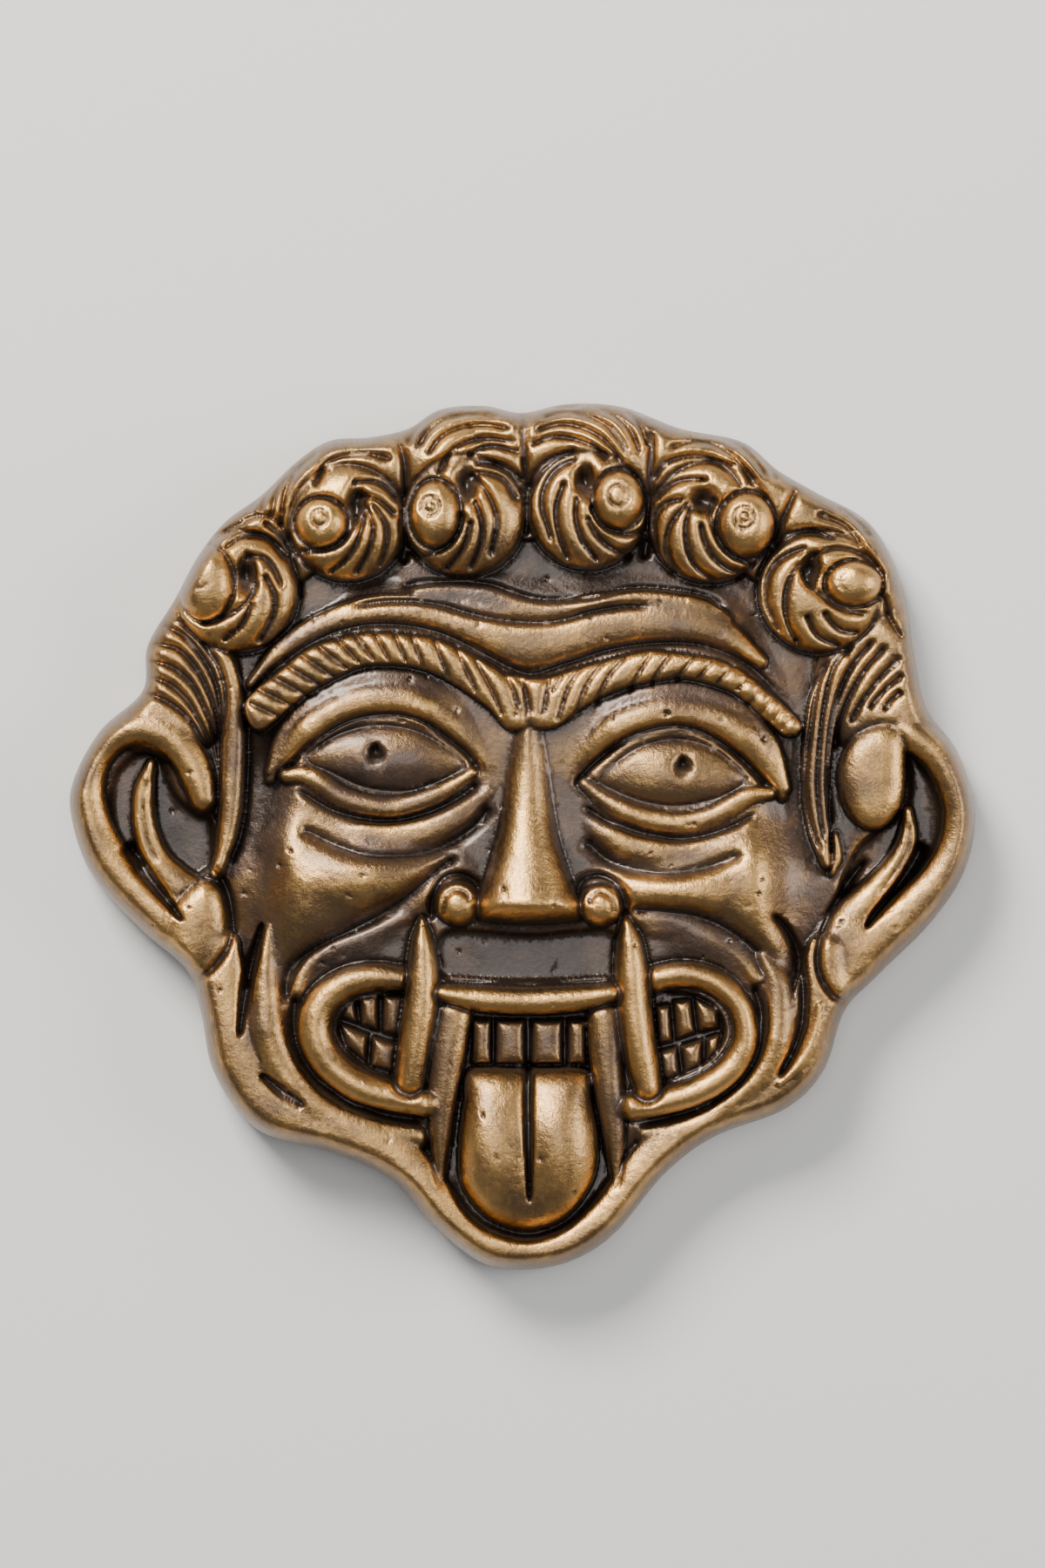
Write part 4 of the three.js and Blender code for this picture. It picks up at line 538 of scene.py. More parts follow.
UPPER_LIP_PLATE = [[-9.2, -10.4], [0.5, -10.6], [10.4, -10.4], [10.4, -16.4], [0.5, -16.8], [-9.2, -16.4]]
UPPER_LIP = [[-9.2, -17.7], [-5, -18.3], [0.5, -18.6], [6, -18.3], [10, -17.7]]
UPPER_LIP_WIDTH = [1.1, 1.6, 1.7, 1.6, 1.2]
LIP_EDGE = [[-8.4, -16.1], [0.5, -16.5], [9.4, -16.1]]
MOUTH = [
    [-9.2, -19], [10, -19], [11.6, -30], [12, -34], [11, -37.6], [9, -41], [5, -44.8], [0.5, -46.3],
    [-4, -45.2], [-7, -42.8], [-8.8, -39.4], [-10, -36.5], [-10.8, -32.5], [-10.6, -28],
]
EARS = [
    {
        "bowl": [
            [-47.6, 4.6], [-47.1, 7.2], [-45.4, 9.3], [-43.3, 10.3], [-41.2, 9.3], [-40, 7.2], [-39.1, 5],
            [-37.2, 3.2], [-35.2, 2.2], [-35, -3], [-36.4, -4.6], [-39, -6], [-41.6, -6], [-44.6, -3.6],
            [-46.4, -0.8], [-47.4, 1.8],
        ],
        "ridge": [
            [-42.4, 8.4], [-43.2, 5.6], [-43.3, 2.6], [-42.7, -0.4], [-41.5, -3], [-39.7, -5.2],
            [-37.6, -7.4],
        ],
        "ridge_width": [0.5, 1.2, 1.4, 1.5, 1.7, 2.2, 3],
        "split": [[-42.9, 6.6], [-43.4, 3.4], [-43, 0], [-41.7, -3]],
        "rim": [
            [-36.4, 4.4], [-37.1, 6.8], [-38.2, 9.2], [-40.5, 11.6], [-43.5, 12.6], [-46.5, 11.9],
            [-48.8, 9.8], [-50, 7], [-50.1, 4], [-49.2, 0.6], [-47.4, -2.8], [-44.6, -5.9], [-41.4, -8.8],
            [-38.4, -11.4],
        ],
        "rim_width": [1.6, 2, 2.1, 2.1, 2.1, 2.1, 2.2, 2.4, 2.5, 2.6, 2.7, 2.8, 3, 3.4],
        "lobe": [
            [-38.8, -6.4], [-36.4, -4.8], [-34.4, -6.2], [-33.7, -9.8], [-34.2, -12.6], [-35.6, -14.6],
            [-38, -15.6], [-40.6, -13], [-40.4, -9],
        ],
        "cut": [[-45.4, -0.8], [-43.6, -3.5], [-42, -5.6], [-40.3, -7.6], [-38.7, -9.5]],
        "pad": [-37.6, -10.8, 4.6, 5.6],
        "border": [
            [-35.3, -3.4], [-33.8, -6], [-33.2, -9], [-33.5, -12], [-34.6, -14], [-36, -15.4], [-37.6, -16.2],
        ],
    },
    {
        "bowl": [
            [43.6, 10.4], [45.6, 8.8], [47.4, 5.2], [47.8, 1.5], [47, -2], [44.5, -5.6], [40.5, -8.6],
            [38, -9.6], [35.8, -6], [37.4, -1.6], [39.6, 0.8], [43.4, 4],
        ],
        "ridge": [[43.8, 3], [43.8, 0], [42.6, -3], [40.3, -6], [37.8, -8.8], [35.8, -11.8]],
        "ridge_width": [0.6, 1.1, 1.4, 1.7, 2.2, 2.6],
        "split": [[44, 1.6], [43.6, -1.6], [41.8, -4.6], [40.4, -6.4]],
        "rim": [
            [41, 12], [44.5, 11.4], [47.2, 9.4], [48.9, 6.5], [49.8, 3.5], [49.7, 0.5], [48.8, -2.5],
            [47.1, -5.4], [44.4, -8], [41.4, -10.6], [38.6, -13], [36.4, -15.4],
        ],
        "rim_width": [1.6, 2, 2.1, 2.1, 2.1, 2.1, 2.2, 2.4, 2.5, 2.8, 3.2, 2.8],
        "lobe": [
            [35.8, 6], [36.1, 8.8], [37.5, 11.4], [39.8, 12.8], [42.2, 12.8], [43.4, 11], [43.5, 8],
            [43.4, 5], [42.7, 2.9], [41, 1.1], [38.8, 1], [36.8, 2.8],
        ],
        "cut": [[45.8, -0.8], [44.3, -3.6], [42.3, -6.2], [40.3, -8.5], [38.9, -10.3]],
        "pad": [37.2, -13.2, 4.4, 5.6],
        "border": [
            [39.4, -2.4], [37, -5.4], [34.8, -9], [33.6, -12], [33.5, -15], [34.8, -17.6], [37, -19.2],
        ],
    },
]
EAR_CUT_WIDTH = [1.1, 1.1, 0.9, 0.7, 0.3]
JAW = [
    [-34.2, -12.5], [-34.4, -18], [-33, -24], [-29.5, -29.5], [-23.5, -32.8], [-17, -35.4],
    [-12.6, -38.7], [-9.4, -42.6], [-5.2, -46], [0, -47.2], [5.2, -46.5], [10, -43], [14, -38.2],
    [18.5, -34.3], [25, -30.8], [30.5, -27], [33.5, -21], [34.4, -13],
]
JAW_WIDTH = [2, 3.4, 4.2, 4.8, 4.4, 3.6, 2.9, 2.6, 2.5, 2.5, 2.5, 2.6, 2.9, 3.4, 4.2, 4.6, 4, 2.2]
JAW_CUT = [[-30, -26.9], [-27.5, -28.7], [-24.8, -30.5]]
JAW_CUT_WIDTH = [0.4, 0.9, 0.4]
JAW_RIDGE = [[33.6, -19], [33.1, -22.5], [31.4, -25.6], [29, -28]]
JAW_RIDGE_WIDTH = [0.4, 0.7, 0.7, 0.3]
TEMPLE_RIDGE = [[35.5, 0.2], [35.7, -2.2], [35.1, -4.2]]
TEMPLE_RIDGE_WIDTH = [0.4, 0.7, 0.3]

# The flaws of the casting, in millimetres
FLAW_SEED = 7
RIPPLES = [(2.2, 0.07), (0.7, 0.018)]  # spread and height of the casting's ripple
PITS = [  # x, y and radius
    [16.2, 14, 0.6], [-13, 18, 0.5], [-2.3, -5.8, 0.45], [-2, -6.5, 0.3], [27.2, 11.2, 0.4],
    [9.4, 22.6, 0.35], [-11.4, -9.9, 0.3], [12.6, -12.2, 0.35], [24.4, 1.2, 0.35], [26.6, -6.4, 0.4],
    [-27.6, -3.2, 0.5], [-26.4, -1.6, 0.4], [-24.8, 0.6, 0.4], [-31.8, -6.4, 0.4], [-4.6, -31.5, 0.35],
    [6.2, -41, 0.3], [-20.6, 24.4, 0.35], [4.4, 24.9, 0.3], [18.4, 26.9, 0.3], [-7.2, 30.1, 0.35],
    [31, 22.4, 0.4], [36.2, -9.6, 0.45], [-38, -8, 0.3], [22.4, 13.4, 0.3], [-7.4, -13, 0.35],
    [3.4, -15.2, 0.3], [-23, -14.2, 0.4], [-21.6, -12.6, 0.3], [20.4, -13.6, 0.35], [2.6, 29.4, 0.4],
]
SCATTERED_PITS = 150
SCATTERED_RADIUS = (0.2, 0.45)  # the least and the most
SCATTERED_DEPTH = 0.7  # as a share of the radius
SCATTER_MARGIN = 8  # none lies closer to the sides of the drawing's grid
CASTING_BLUR = 0.09  # how much the casting softens the carving

# The mesh
STEPS = 1024  # a power of two
GRID_STEP = 2 * HALF_X / STEPS  # the rough spacing of its points, in millimetres
HALVINGS = 14  # of the range in which the tolerance is sought
FOOT_EASE = 0.4  # the eased corner between the border and the back

# Where the patina is rubbed through, where the tone is made darker, and the painted shade on the border's
# side
WEAR_BASE = 0.54
WEAR_SCALES = [  # spread in millimetres, weight, and the least and most it adds
    (0.3, 0.8, -0.5, 0.1),
    (1, 0.28, -0.16, 0.16),
    (3.5, 0.1, -0.1, 0.18),
]
SIDE_PAINTED_SHADE = 0.5  # tone of the border's side and the back, set darker as painted shade
SIDE_START = 0.9  # from this share of the way out to the border, the tone eases to the painted shade of the side
DARKER_OVALS = [  # ovals made darker, by the last number at their middle
    (-33.6, 5, 3, 13, 0.27), (-16.5, 5.6, 11, 4.4, 0.27), (-15, -2.6, 11, 2.6, 0.26), (33.8, 6, 3, 12, 0.2),
    (-30.5, -16, 3.4, 8, 0.2), (30.5, -17, 4, 8, 0.2),
    (-30, 8, 4, 14, 0.29), (0, 31, 34, 5, 0.23), (0, 27.6, 24, 3, 0.26), (-22, 23.6, 10, 3, 0.2),
    (20, 24, 10, 3, 0.17), (-27, 20, 7, 5, 0.14), (-40, 1, 6, 8, 0.23), (45, 0, 4, 10, 0.23),
    (0.5, -13.5, 12, 6, 0.35), (-18, -12.5, 11, 5, 0.26), (19, -12, 9, 4, 0.26), (35, 2, 4, 20, 0.2),
    (-6, 0, 4, 8, 0.26), (7, 0, 4, 8, 0.26), (0.7, -23, 9, 4, 0.29), (-17, -22, 6, 6, 0.17),
    (18, -22, 6, 6, 0.17), (-9, -30, 2.4, 12, 0.17), (10, -30, 2.4, 12, 0.17), (-17, 17.5, 12, 2.6, 0.17),
    (17, 16.4, 12, 2.6, 0.17), (-16, 9, 9, 4, 0.2), (-28.5, 2, 3, 5, 0.17), (-28, -31, 5, 3, 0.09),
]

# The finish, with the sizes of its noises in metres
BLOTCH_SIZE = 0.004
SPECK_SIZE = 0.0007
BRUSH_SIZE = 0.00018
BRUSH_STRETCH = (1, 30, 30)
BLOTCH_WEIGHT = 0.7  # how far the blotches move the tone
BLOTCH_SHIFT = -0.36
SPECK_WEIGHT = 0.24
GLOSS_RANGE = 0.2  # how far the brush marks vary the roughness
TONES = (0.08, 0.36, 0.6, 0.85)  # where black, brown, bronze and gold lie on the scale of wear and painted shade
FILM = (0.3, 0.6)  # the patina's film thins out between these two
FILM_METAL = 0.6  # how metallic the film looks
WAX_THINNING = 4  # on the bare metal the wax is this many times thinner
WAX_ROUGHNESS = 0.18

# The stage
FLOOR_ROUGHNESS = 0.8
SKY_COLOUR = (0.9, 0.93, 1)
WHITE = (1, 1, 1)
LIGHTS = [  # name, place and width in metres, and colour
    ("key", (-0.3, 0.5, 0.55), 0.3, (1, 0.96, 0.9)),
    ("fill", (0.6, 0.05, 0.35), 0.35, WHITE),
    ("overhead", (0, 0.1, 1.0), 0.5, WHITE),
]
NEAREST_VIEW = 0.01  # nothing closer to the camera is drawn


def spline(points, closed=False):
    """A smooth line through the points. Each span is the cubic whose slope at either end is half of the
    chord between that end's two neighbours (a uniform Catmull-Rom curve)."""
    points = np.asarray(points, float)
    if closed:
        padded = np.vstack([points[-1:], points, points[:2]])
    else:
        padded = np.vstack([2 * points[0] - points[1], points, 2 * points[-1] - points[-2]])
    before, start, end, after = (padded[k : len(padded) - 3 + k, None, :] for k in range(4))
    t = (np.arange(SAMPLES) / SAMPLES)[None, :, None]
    cubic = 3 * (start - end) + after - before
    square = 2 * before - 5 * start + 4 * end - after
    curve = (start + 0.5 * t * (end - before + t * (square + t * cubic))).reshape(-1, 2)
    return curve if closed else np.vstack([curve, points[-1:]])


def lengthened(points, reach):
    """The points with the first and the last drawn out along their own spans by that length."""
    points = np.array(points, float)
    start, end = points[0] - points[1], points[-1] - points[-2]
    points[0] += start * reach / np.hypot(*start)
    points[-1] += end * reach / np.hypot(*end)
    return points


def along(value, share):
    """A value that is one number, or several spread evenly along a line, at each share of its length."""
    if np.isscalar(value):
        return value
    return np.interp(share, np.linspace(0, 1, len(value)), value)


def rounded(share):
    """Quarter round: the root of one less the square of one less the share. It is 0 and upright at 0,
    and 1 and level at 1."""
    return np.sqrt(np.maximum(0, 1 - (1 - np.clip(share, 0, 1)) ** 2))


def eased(share):
    """A step without corners: three squares less two cubes of the share."""
    share = np.clip(share, 0, 1)
    return share * share * (3 - 2 * share)


def blurred(field, spread):
    """The field smoothed by a bell curve of that spread in millimetres, as a product of spectra."""
    rows, columns = field.shape
    down = np.fft.fftfreq(rows)[:, None]
    across = np.fft.rfftfreq(columns)[None, :]
    bell = np.exp(-2 * (math.pi * spread / PITCH) ** 2 * (down**2 + across**2))
    return np.fft.irfft2(np.fft.rfft2(field) * bell, s=field.shape)


class Relief:
    """Heights in millimetres on a square grid, carved one form after another."""

    def __init__(self):
        self.xs = np.arange(-HALF_X, HALF_X + PITCH / 2, PITCH)
        self.ys = np.arange(-HALF_Y, HALF_Y + PITCH / 2, PITCH)
        self.height = np.zeros((len(self.ys), len(self.xs)))

    def window(self, points, reach):
        """The rows and columns of the box that reaches past the points."""
        low = np.min(points, axis=0) - reach
        high = np.max(points, axis=0) + reach
        columns = slice(*np.searchsorted(self.xs, (low[0], high[0])))
        rows = slice(*np.searchsorted(self.ys, (low[1], high[1])))
        return rows, columns

    def near(self, line, reach):
        """The window round a line, with each cell's distance to the line, at most the reach, and the
        share of the line's length at its nearest point."""
        rows, columns = self.window(line, reach)
        gap = np.full((rows.stop - rows.start, columns.stop - columns.start), float(reach))
        share = np.zeros_like(gap)
        spans = len(line) - 1
        for k in range(spans):
            part_rows, part_columns = self.window(line[k : k + 2], reach)
            x = self.xs[part_columns][None, :] - line[k][0]
            y = self.ys[part_rows][:, None] - line[k][1]
            dx, dy = line[k + 1] - line[k]
            t = np.clip((x * dx + y * dy) / max(dx * dx + dy * dy, NO_LENGTH), 0, 1)
            away = np.hypot(x - t * dx, y - t * dy)
            inner = (
                slice(part_rows.start - rows.start, part_rows.stop - rows.start),
                slice(part_columns.start - columns.start, part_columns.stop - columns.start),
            )
            nearer = away < gap[inner]
            gap[inner] = np.where(nearer, away, gap[inner])
            share[inner] = np.where(nearer, (k + t) / spans, share[inner])
        return (rows, columns), gap, share

    def inside(self, line, reach):
        """The window round a closed line, which cells lie inside it (an odd count of edges lies to
        their right), and each cell's distance to the line, at most the reach."""
        ring = np.vstack([line, line[:1]])
        window, gap, _ = self.near(ring, reach)
        x = self.xs[window[1]][None, :]
        y = self.ys[window[0]][:, None]
        within = np.zeros(gap.shape, bool)
        for (ax, ay), (bx, by) in zip(ring[:-1], ring[1:]):
            if ay != by:
                crosses = (ay > y) != (by > y)
                within ^= crosses & (x < ax + (y - ay) / (by - ay) * (bx - ax))
        return window, within, gap

    def lift(self, window, top, where):
        """Raises the cells to the top where it is the higher one."""
        now = self.height[window]
        self.height[window] = np.where(where, np.maximum(now, top), now)

    def roll(self, points, half_width, crest, drop, moat=0.0):
        """A rounded rope along a line: the crest less the drop times one minus a quarter round of the
        distance. A moat is cut round it first, as deep as given, with a rounded outer shoulder."""
        window, gap, share = self.near(spline(points), np.max(half_width) + MOAT_WIDTH)
        half = along(half_width, share)
        self.height[window] -= moat * (1 - rounded((gap - half) / MOAT_WIDTH))
        top = along(crest, share) - drop * (1 - rounded(1 - gap / half))
        self.lift(window, top, gap < half)

    def groove(self, points, half_width, depth, power=2):
        """A chased line, deepest along the middle and fading out at both ends: the depth times a power
        of one minus the share of the width."""
        window, gap, share = self.near(spline(points), np.max(half_width))
        deep = depth * fading(share) * np.maximum(0, 1 - gap / along(half_width, share)) ** power
        self.height[window] -= deep

    def strands(self, lines, half_width, depth, reach=0.0):
        """Sharp lines between rounded strands: each side rises from the line as a quarter round, so
        that two lines a width apart leave a rope between them. Lines that meet don't add up, and each
        runs on past its drawn ends by the reach."""
        cut = np.zeros_like(self.height)
        for points in lines:
            window, gap, share = self.near(spline(lengthened(points, reach)), half_width)
            deep = depth * fading(share) * (1 - rounded(gap / half_width) ** STRAND_POWER)
            cut[window] = np.maximum(cut[window], deep)
        self.height -= cut

    def ellipse(self, oval, beyond=0.0):
        """The window round an oval (x, y, radius x, radius y), and each cell's distance from its
        middle as a share of the radius."""
        x, y, radius_x, radius_y = oval
        window = self.window([[x, y]], max(radius_x, radius_y) + beyond)
        across = (self.xs[window[1]][None, :] - x) / radius_x
        up = (self.ys[window[0]][:, None] - y) / radius_y
        return window, np.hypot(across, up)

    def dome(self, oval, foot, top, power=2, moat=0.0):
        """A dome: foot plus the rise times the root of one minus a power of the share of the radius,
        with a moat round it as a rope has."""
        window, out = self.ellipse(oval, MOAT_WIDTH)
        beyond = (out - 1) * min(oval[2:]) / MOAT_WIDTH
        self.height[window] -= moat * (1 - rounded(beyond))
        level = foot + (top - foot) * np.sqrt(np.maximum(0, 1 - out**power))
        self.lift(window, level, out < 1)

    def swell(self, oval, rise):
        """A soft swelling: the rise times the square of one minus the squared share of the radius."""
        window, out = self.ellipse(oval)
        self.height[window] += rise * np.maximum(0, 1 - out * out) ** 2

    def hollow(self, oval, depth):
        """A round hollow: the depth times the eased step of one minus the share of the radius."""
        window, out = self.ellipse(oval)
        self.height[window] -= depth * eased(1 - out)

    def ring(self, circle, half_width, depth):
        """A punched circle (x, y, radius): the depth times the eased step of one minus the distance to
        the circle as a share of the half width."""
        x, y, radius = circle
        window, out = self.ellipse((x, y, radius, radius), half_width)
        self.height[window] -= depth * eased(1 - np.abs(out - 1) * radius / half_width)

    def settle(self, points, level, slope):
        """Brings the ground inside a closed line to one level, by the eased step of the distance to the
        line as a share of the slope's width."""
        window, within, gap = self.inside(spline(points, True), slope)
        now = self.height[window]
        self.height[window] = np.where(within, now + (level - now) * eased(gap / slope), now)

    def plate(self, line, level, edge, drop, moat=0.0):
        """A raised shape: its level less the drop times one minus a quarter round of the distance to
        its line as a share of the edge's width, with a moat round it as a rope has. The level is a
        number or a function of x and y."""
        window, within, gap = self.inside(np.asarray(line, float), max(edge, MOAT_WIDTH))
        if callable(level):
            level = level(self.xs[window[1]][None, :], self.ys[window[0]][:, None])
        self.height[window] -= moat * np.where(within, 1, 1 - rounded(gap / MOAT_WIDTH))
        self.lift(window, level - drop * (1 - rounded(gap / edge)), within)


def fading(share):
    """1 along a line, let down to 0 at both of its ends: the share of its length from the nearer end
    times the run-out, and at most 1."""
    return np.minimum(1, np.minimum(share, 1 - share) * RUN_OUT)


def carve_ground(relief):
    """The plain ground: a shallow bowl turned over, lower by the square of the way out, and the face as
    a raised field on it."""
    out = np.minimum(1, np.hypot(relief.xs[None, :], relief.ys[:, None]) / HALF_Y)
    relief.height = FACE_GROUND + (RIM_GROUND - FACE_GROUND) * out**2
    relief.settle(FACE_FIELD, FACE_LEVEL, slope=5)


def carve_temples(relief, sizes):
    """The hair at the temples: a dome, a smooth band in front of the ear, and a fan of lines."""
    for temple in TEMPLES:
        relief.dome(temple["dome"], foot=RIM_GROUND, top=TEMPLE_TOP, power=5)
        relief.roll(temple["band"], temple["band_width"], crest=TEMPLE_TOP + 0.7, drop=1.2)
        relief.strands(temple["cuts"], LOCK_WIDTH, sizes.lock_cut / MM)
    relief.roll(TEMPLE_RIDGE, TEMPLE_RIDGE_WIDTH, crest=TEMPLE_TOP + 0.3, drop=1.4, moat=0.6)


def carve_curls(relief, sizes):
    """Each curl: a mass of hair, a round bun at its foot, a smooth knob, and rounded locks."""
    relief.roll(HAIR_BAND, half_width=5, crest=HAIR_MASS - 1, drop=2.5)
    middles = [[curl["x"], curl["y"]] for curl in CURLS]
    relief.roll(middles, half_width=3.2, crest=FACE_LEVEL - 0.4, drop=1.2)
    for curl in CURLS:
        x, y, radius = curl["x"], curl["y"], curl["radius"]
        out = Vector((x, y - FACE_MIDDLE_Y)).normalized() * (curl["mass"] - radius)
        relief.roll([[x, y], [x + out.x, y + out.y]], radius, HAIR_MASS, drop=HAIR_MASS - MASS_FOOT)
    for crease in CREASES:
        relief.groove(crease, half_width=1.1, depth=sizes.crease_cut / MM)
    for curl in CURLS:
        x, y, radius = curl["x"], curl["y"], curl["radius"]
        relief.dome((x, y, radius, radius), foot=BUN_FOOT, top=CURL_TOP, power=3, moat=0.8)
        relief.hollow(curl["pit"], PIT_DEPTH)
        relief.strands(curl["locks"], LOCK_WIDTH, sizes.lock_cut / MM, STRAND_REACH)
        relief.dome(curl["knob"], foot=CURL_TOP - 2.4, top=KNOB_TOP, power=3, moat=1.5)
    for ring in KNOB_RINGS:
        relief.ring(ring, half_width=0.28, depth=RING_DEPTH)
    relief.strands(KNOB_MARKS, half_width=0.3, depth=0.4)


def carve_forehead(relief, sizes):
    """The wrinkles and the muscle over the brows."""
    fold_crest = np.add(BROW_MUSCLE - 0.4, FOREHEAD["rise"])
    relief.roll(FOREHEAD["fold"], FOREHEAD["fold_width"], fold_crest, drop=0.5)
    muscle_crest = np.add(BROW_MUSCLE, FOREHEAD["rise"])
    relief.roll(FOREHEAD["muscle"], FOREHEAD["muscle_width"], muscle_crest, drop=1.1)
    for wrinkle in FOREHEAD["wrinkles"]:
        relief.groove(wrinkle, half_width=0.8, depth=sizes.wrinkle_cut / MM)
    relief.groove(FOREHEAD["brow_line"], half_width=0.9, depth=sizes.wrinkle_cut / MM)


def carve_brows(relief, sizes):
    """Two flat-topped brows that meet over the nose, with slanting cuts that leave pointed strands."""
    for brow in BROWS:
        relief.plate(spline(brow["shape"], True), BROW_TOP, edge=1.3, drop=1.2, moat=0.4)
    for brow in BROWS:
        relief.strands(brow["hatching"], HATCH_WIDTH, sizes.brow_cut / MM)


def carve_eye(relief, eye, sizes):
    """The ball with its drilled pupil, both lids and the bag under them."""
    relief.roll(eye["bag"], BAG_WIDTH, BAG_CREST, drop=0.9)
    relief.groove(eye["bag_line"], half_width=1.5, depth=sizes.wrinkle_cut / MM)
    apron = np.array(eye["lid"]) + [0, APRON_OFFSET]
    relief.roll(apron, APRON_WIDTH, APRON_CREST, drop=0.9)
    relief.roll(eye["lid"], LID_WIDTH, LID_CREST, drop=1.5)
    relief.settle(eye["ball"], level=EYE_TOP - 2.8, slope=1)
    relief.groove(eye["inner"], half_width=0.9, depth=1.6)
    relief.roll(eye["lower"], LOWER_WIDTH, LOWER_CREST, drop=1.2, moat=0.5)
    relief.groove(eye["lower_line"], half_width=0.8, depth=sizes.wrinkle_cut / MM)
    middle_x, middle_y = np.mean(eye["ball"], axis=0)

    def level(x, y):
        """The top of the ball less its fall times the squares of both shares of its half sizes."""
        bulge = ((x - middle_x) / EYE_HALF_WIDTH) ** 2 + ((y - middle_y) / EYE_HALF_HEIGHT) ** 2
        return EYE_TOP - EYE_FALL * bulge

    relief.plate(spline(eye["ball"], True), level, edge=1, drop=1, moat=0.4)
    x, y = eye["pupil"]
    relief.hollow((x, y, *PUPIL_RADII), depth=sizes.pupil_cut / MM)
    relief.hollow((x, y + DRILL_UP, *DRILL_RADII), DRILL_DEPTH)
    relief.swell((x, y - BURR_DOWN, *BURR_RADII), BURR_RISE)


def carve_nose(relief):
    """A narrow, flat-topped ridge that widens to a straight-edged tip with a scroll at each side."""
    for nostril in NOSTRILS:
        relief.groove(nostril["scroll"], half_width=0.9, depth=SCROLL_CUT)
        relief.dome(nostril["wing"], foot=NOSTRIL_TOP - 3.4, top=NOSTRIL_TOP, power=2.5, moat=0.6)
        relief.groove(nostril["coil"], half_width=0.6, depth=0.8)

    def level(x, y):
        """From the root to the tip by a power of the way down, less a slope beyond the flat top and
        less a square of the way on under the tip."""
        down = np.clip((NOSE_TOP_Y - y) / (NOSE_TOP_Y - NOSE_TIP_Y), 0, 1)
        side = np.abs(x - NOSE_MIDDLE) - NOSE_FLAT
        slope = (side + np.hypot(side, NOSE_FLAT)) / 2 * NOSE_SLOPE
        under = np.maximum(0, NOSE_TIP_Y - y)
        return NOSE_ROOT + (NOSE_TIP - NOSE_ROOT) * down**NOSE_SWEEP - slope - UNDERCUT * under**2

    relief.plate(spline(NOSE, True), level, edge=2.9, drop=3.6)


def carve_cheeks(relief):
    """The cheeks as soft swellings, the valleys under them and the edges of the muzzle."""
    for oval in CHEEKS:
        relief.swell(oval, CHEEK_RISE)
    for valley in CHEEK_VALLEYS:
        relief.groove(valley, VALLEY_WIDTH, depth=1.6)
    for edge in MUZZLE_EDGES:
        relief.roll(edge, half_width=0.9, crest=FACE_LEVEL + 0.5, drop=0.8)


def carve_tooth(relief, corners):
    """One tooth: a small plate with rounded edges."""
    relief.plate(corners, level=TEETH_TOP + 0.5, edge=1.1, drop=1.5)


def carve_mouth_corner(relief, corner):
    """A corner of the mouth: the fold round it, the teeth, the loop of lip, the fang and the bar of lip
    that runs down beside the tongue."""
    relief.roll(corner["fold"], corner["fold_width"], FOLD_CREST, drop=2.2)
    relief.groove(corner["outer_cut"], corner["outer_cut_width"], depth=1.9, power=1)
    relief.groove(corner["crease"], half_width=1.2, depth=1.5)
    relief.settle(corner["floor"], level=MOUTH_FLOOR + 0.8, slope=0.8)
    for corners in corner["teeth"]:
        carve_tooth(relief, corners)
    relief.roll(corner["lip"], corner["lip_width"], LIP_TOP, drop=2.6, moat=0.9)
    relief.roll(corner["fang"], corner["fang_width"], FANG_CREST, drop=3, moat=1)
    relief.roll(corner["bar"], corner["bar_width"], BAR_CREST, drop=2, moat=0.4)


def carve_tongue(relief):
    """The hanging tongue: two lobes on a plate that curves down towards its tip, and a groove."""

    def level(x, y):
        """The top less the sag times the square of the way from the middle, and the same at any x."""
        return TONGUE_TOP - TONGUE_SAG * (y - TONGUE_MIDDLE_Y) ** 2 + 0 * x

    relief.plate(spline(TONGUE, True), level, edge=2.4, drop=2.8, moat=0.6)
    for lobe in TONGUE_LOBES:
        relief.swell(lobe, LOBE_RISE)
    relief.groove(TONGUE_GROOVE, TONGUE_GROOVE_WIDTH, depth=2, power=1)


def carve_mouth(relief):
    """The plate over the upper lip, the open mouth, both corners, the upper lip, teeth and tongue."""
    relief.settle(UPPER_LIP_PLATE, LIP_PLATE, slope=0.9)
    relief.roll(LIP_EDGE, half_width=0.35, crest=LIP_PLATE + 0.7, drop=0.6)
    relief.settle(MOUTH, MOUTH_FLOOR, slope=1)
    for corner in MOUTHS:
        carve_mouth_corner(relief, corner)
    relief.roll(UPPER_LIP, UPPER_LIP_WIDTH, LIP_TOP, drop=2.4, moat=0.6)
    top, bottom = FRONT_TEETH_Y
    for left, right in FRONT_TEETH:
        carve_tooth(relief, [[left, top], [right, top], [right, bottom], [left, bottom]])
    carve_tongue(relief)


def carve_ears(relief):
    """Each ear: its bowl, the ridge inside, the rim, its thick lower end, the lobe or disc, a cut and
    the line round it."""
    for ear in EARS:
        relief.settle(ear["bowl"], EAR_FLOOR, slope=1)
        relief.roll(ear["ridge"], ear["ridge_width"], crest=EAR_TOP - 0.7, drop=1.8)
        relief.groove(ear["split"], half_width=0.6, depth=0.6)
        relief.roll(ear["rim"], ear["rim_width"], EAR_TOP, drop=2)
        relief.dome(ear["pad"], foot=EAR_TOP - 2.4, top=EAR_TOP, power=3)
        relief.plate(spline(ear["lobe"], True), level=EAR_TOP + 0.4, edge=2.6, drop=2, moat=0.4)
        relief.groove(ear["cut"], EAR_CUT_WIDTH, depth=2.6, power=1)
        relief.groove(ear["border"], half_width=0.9, depth=1.6)


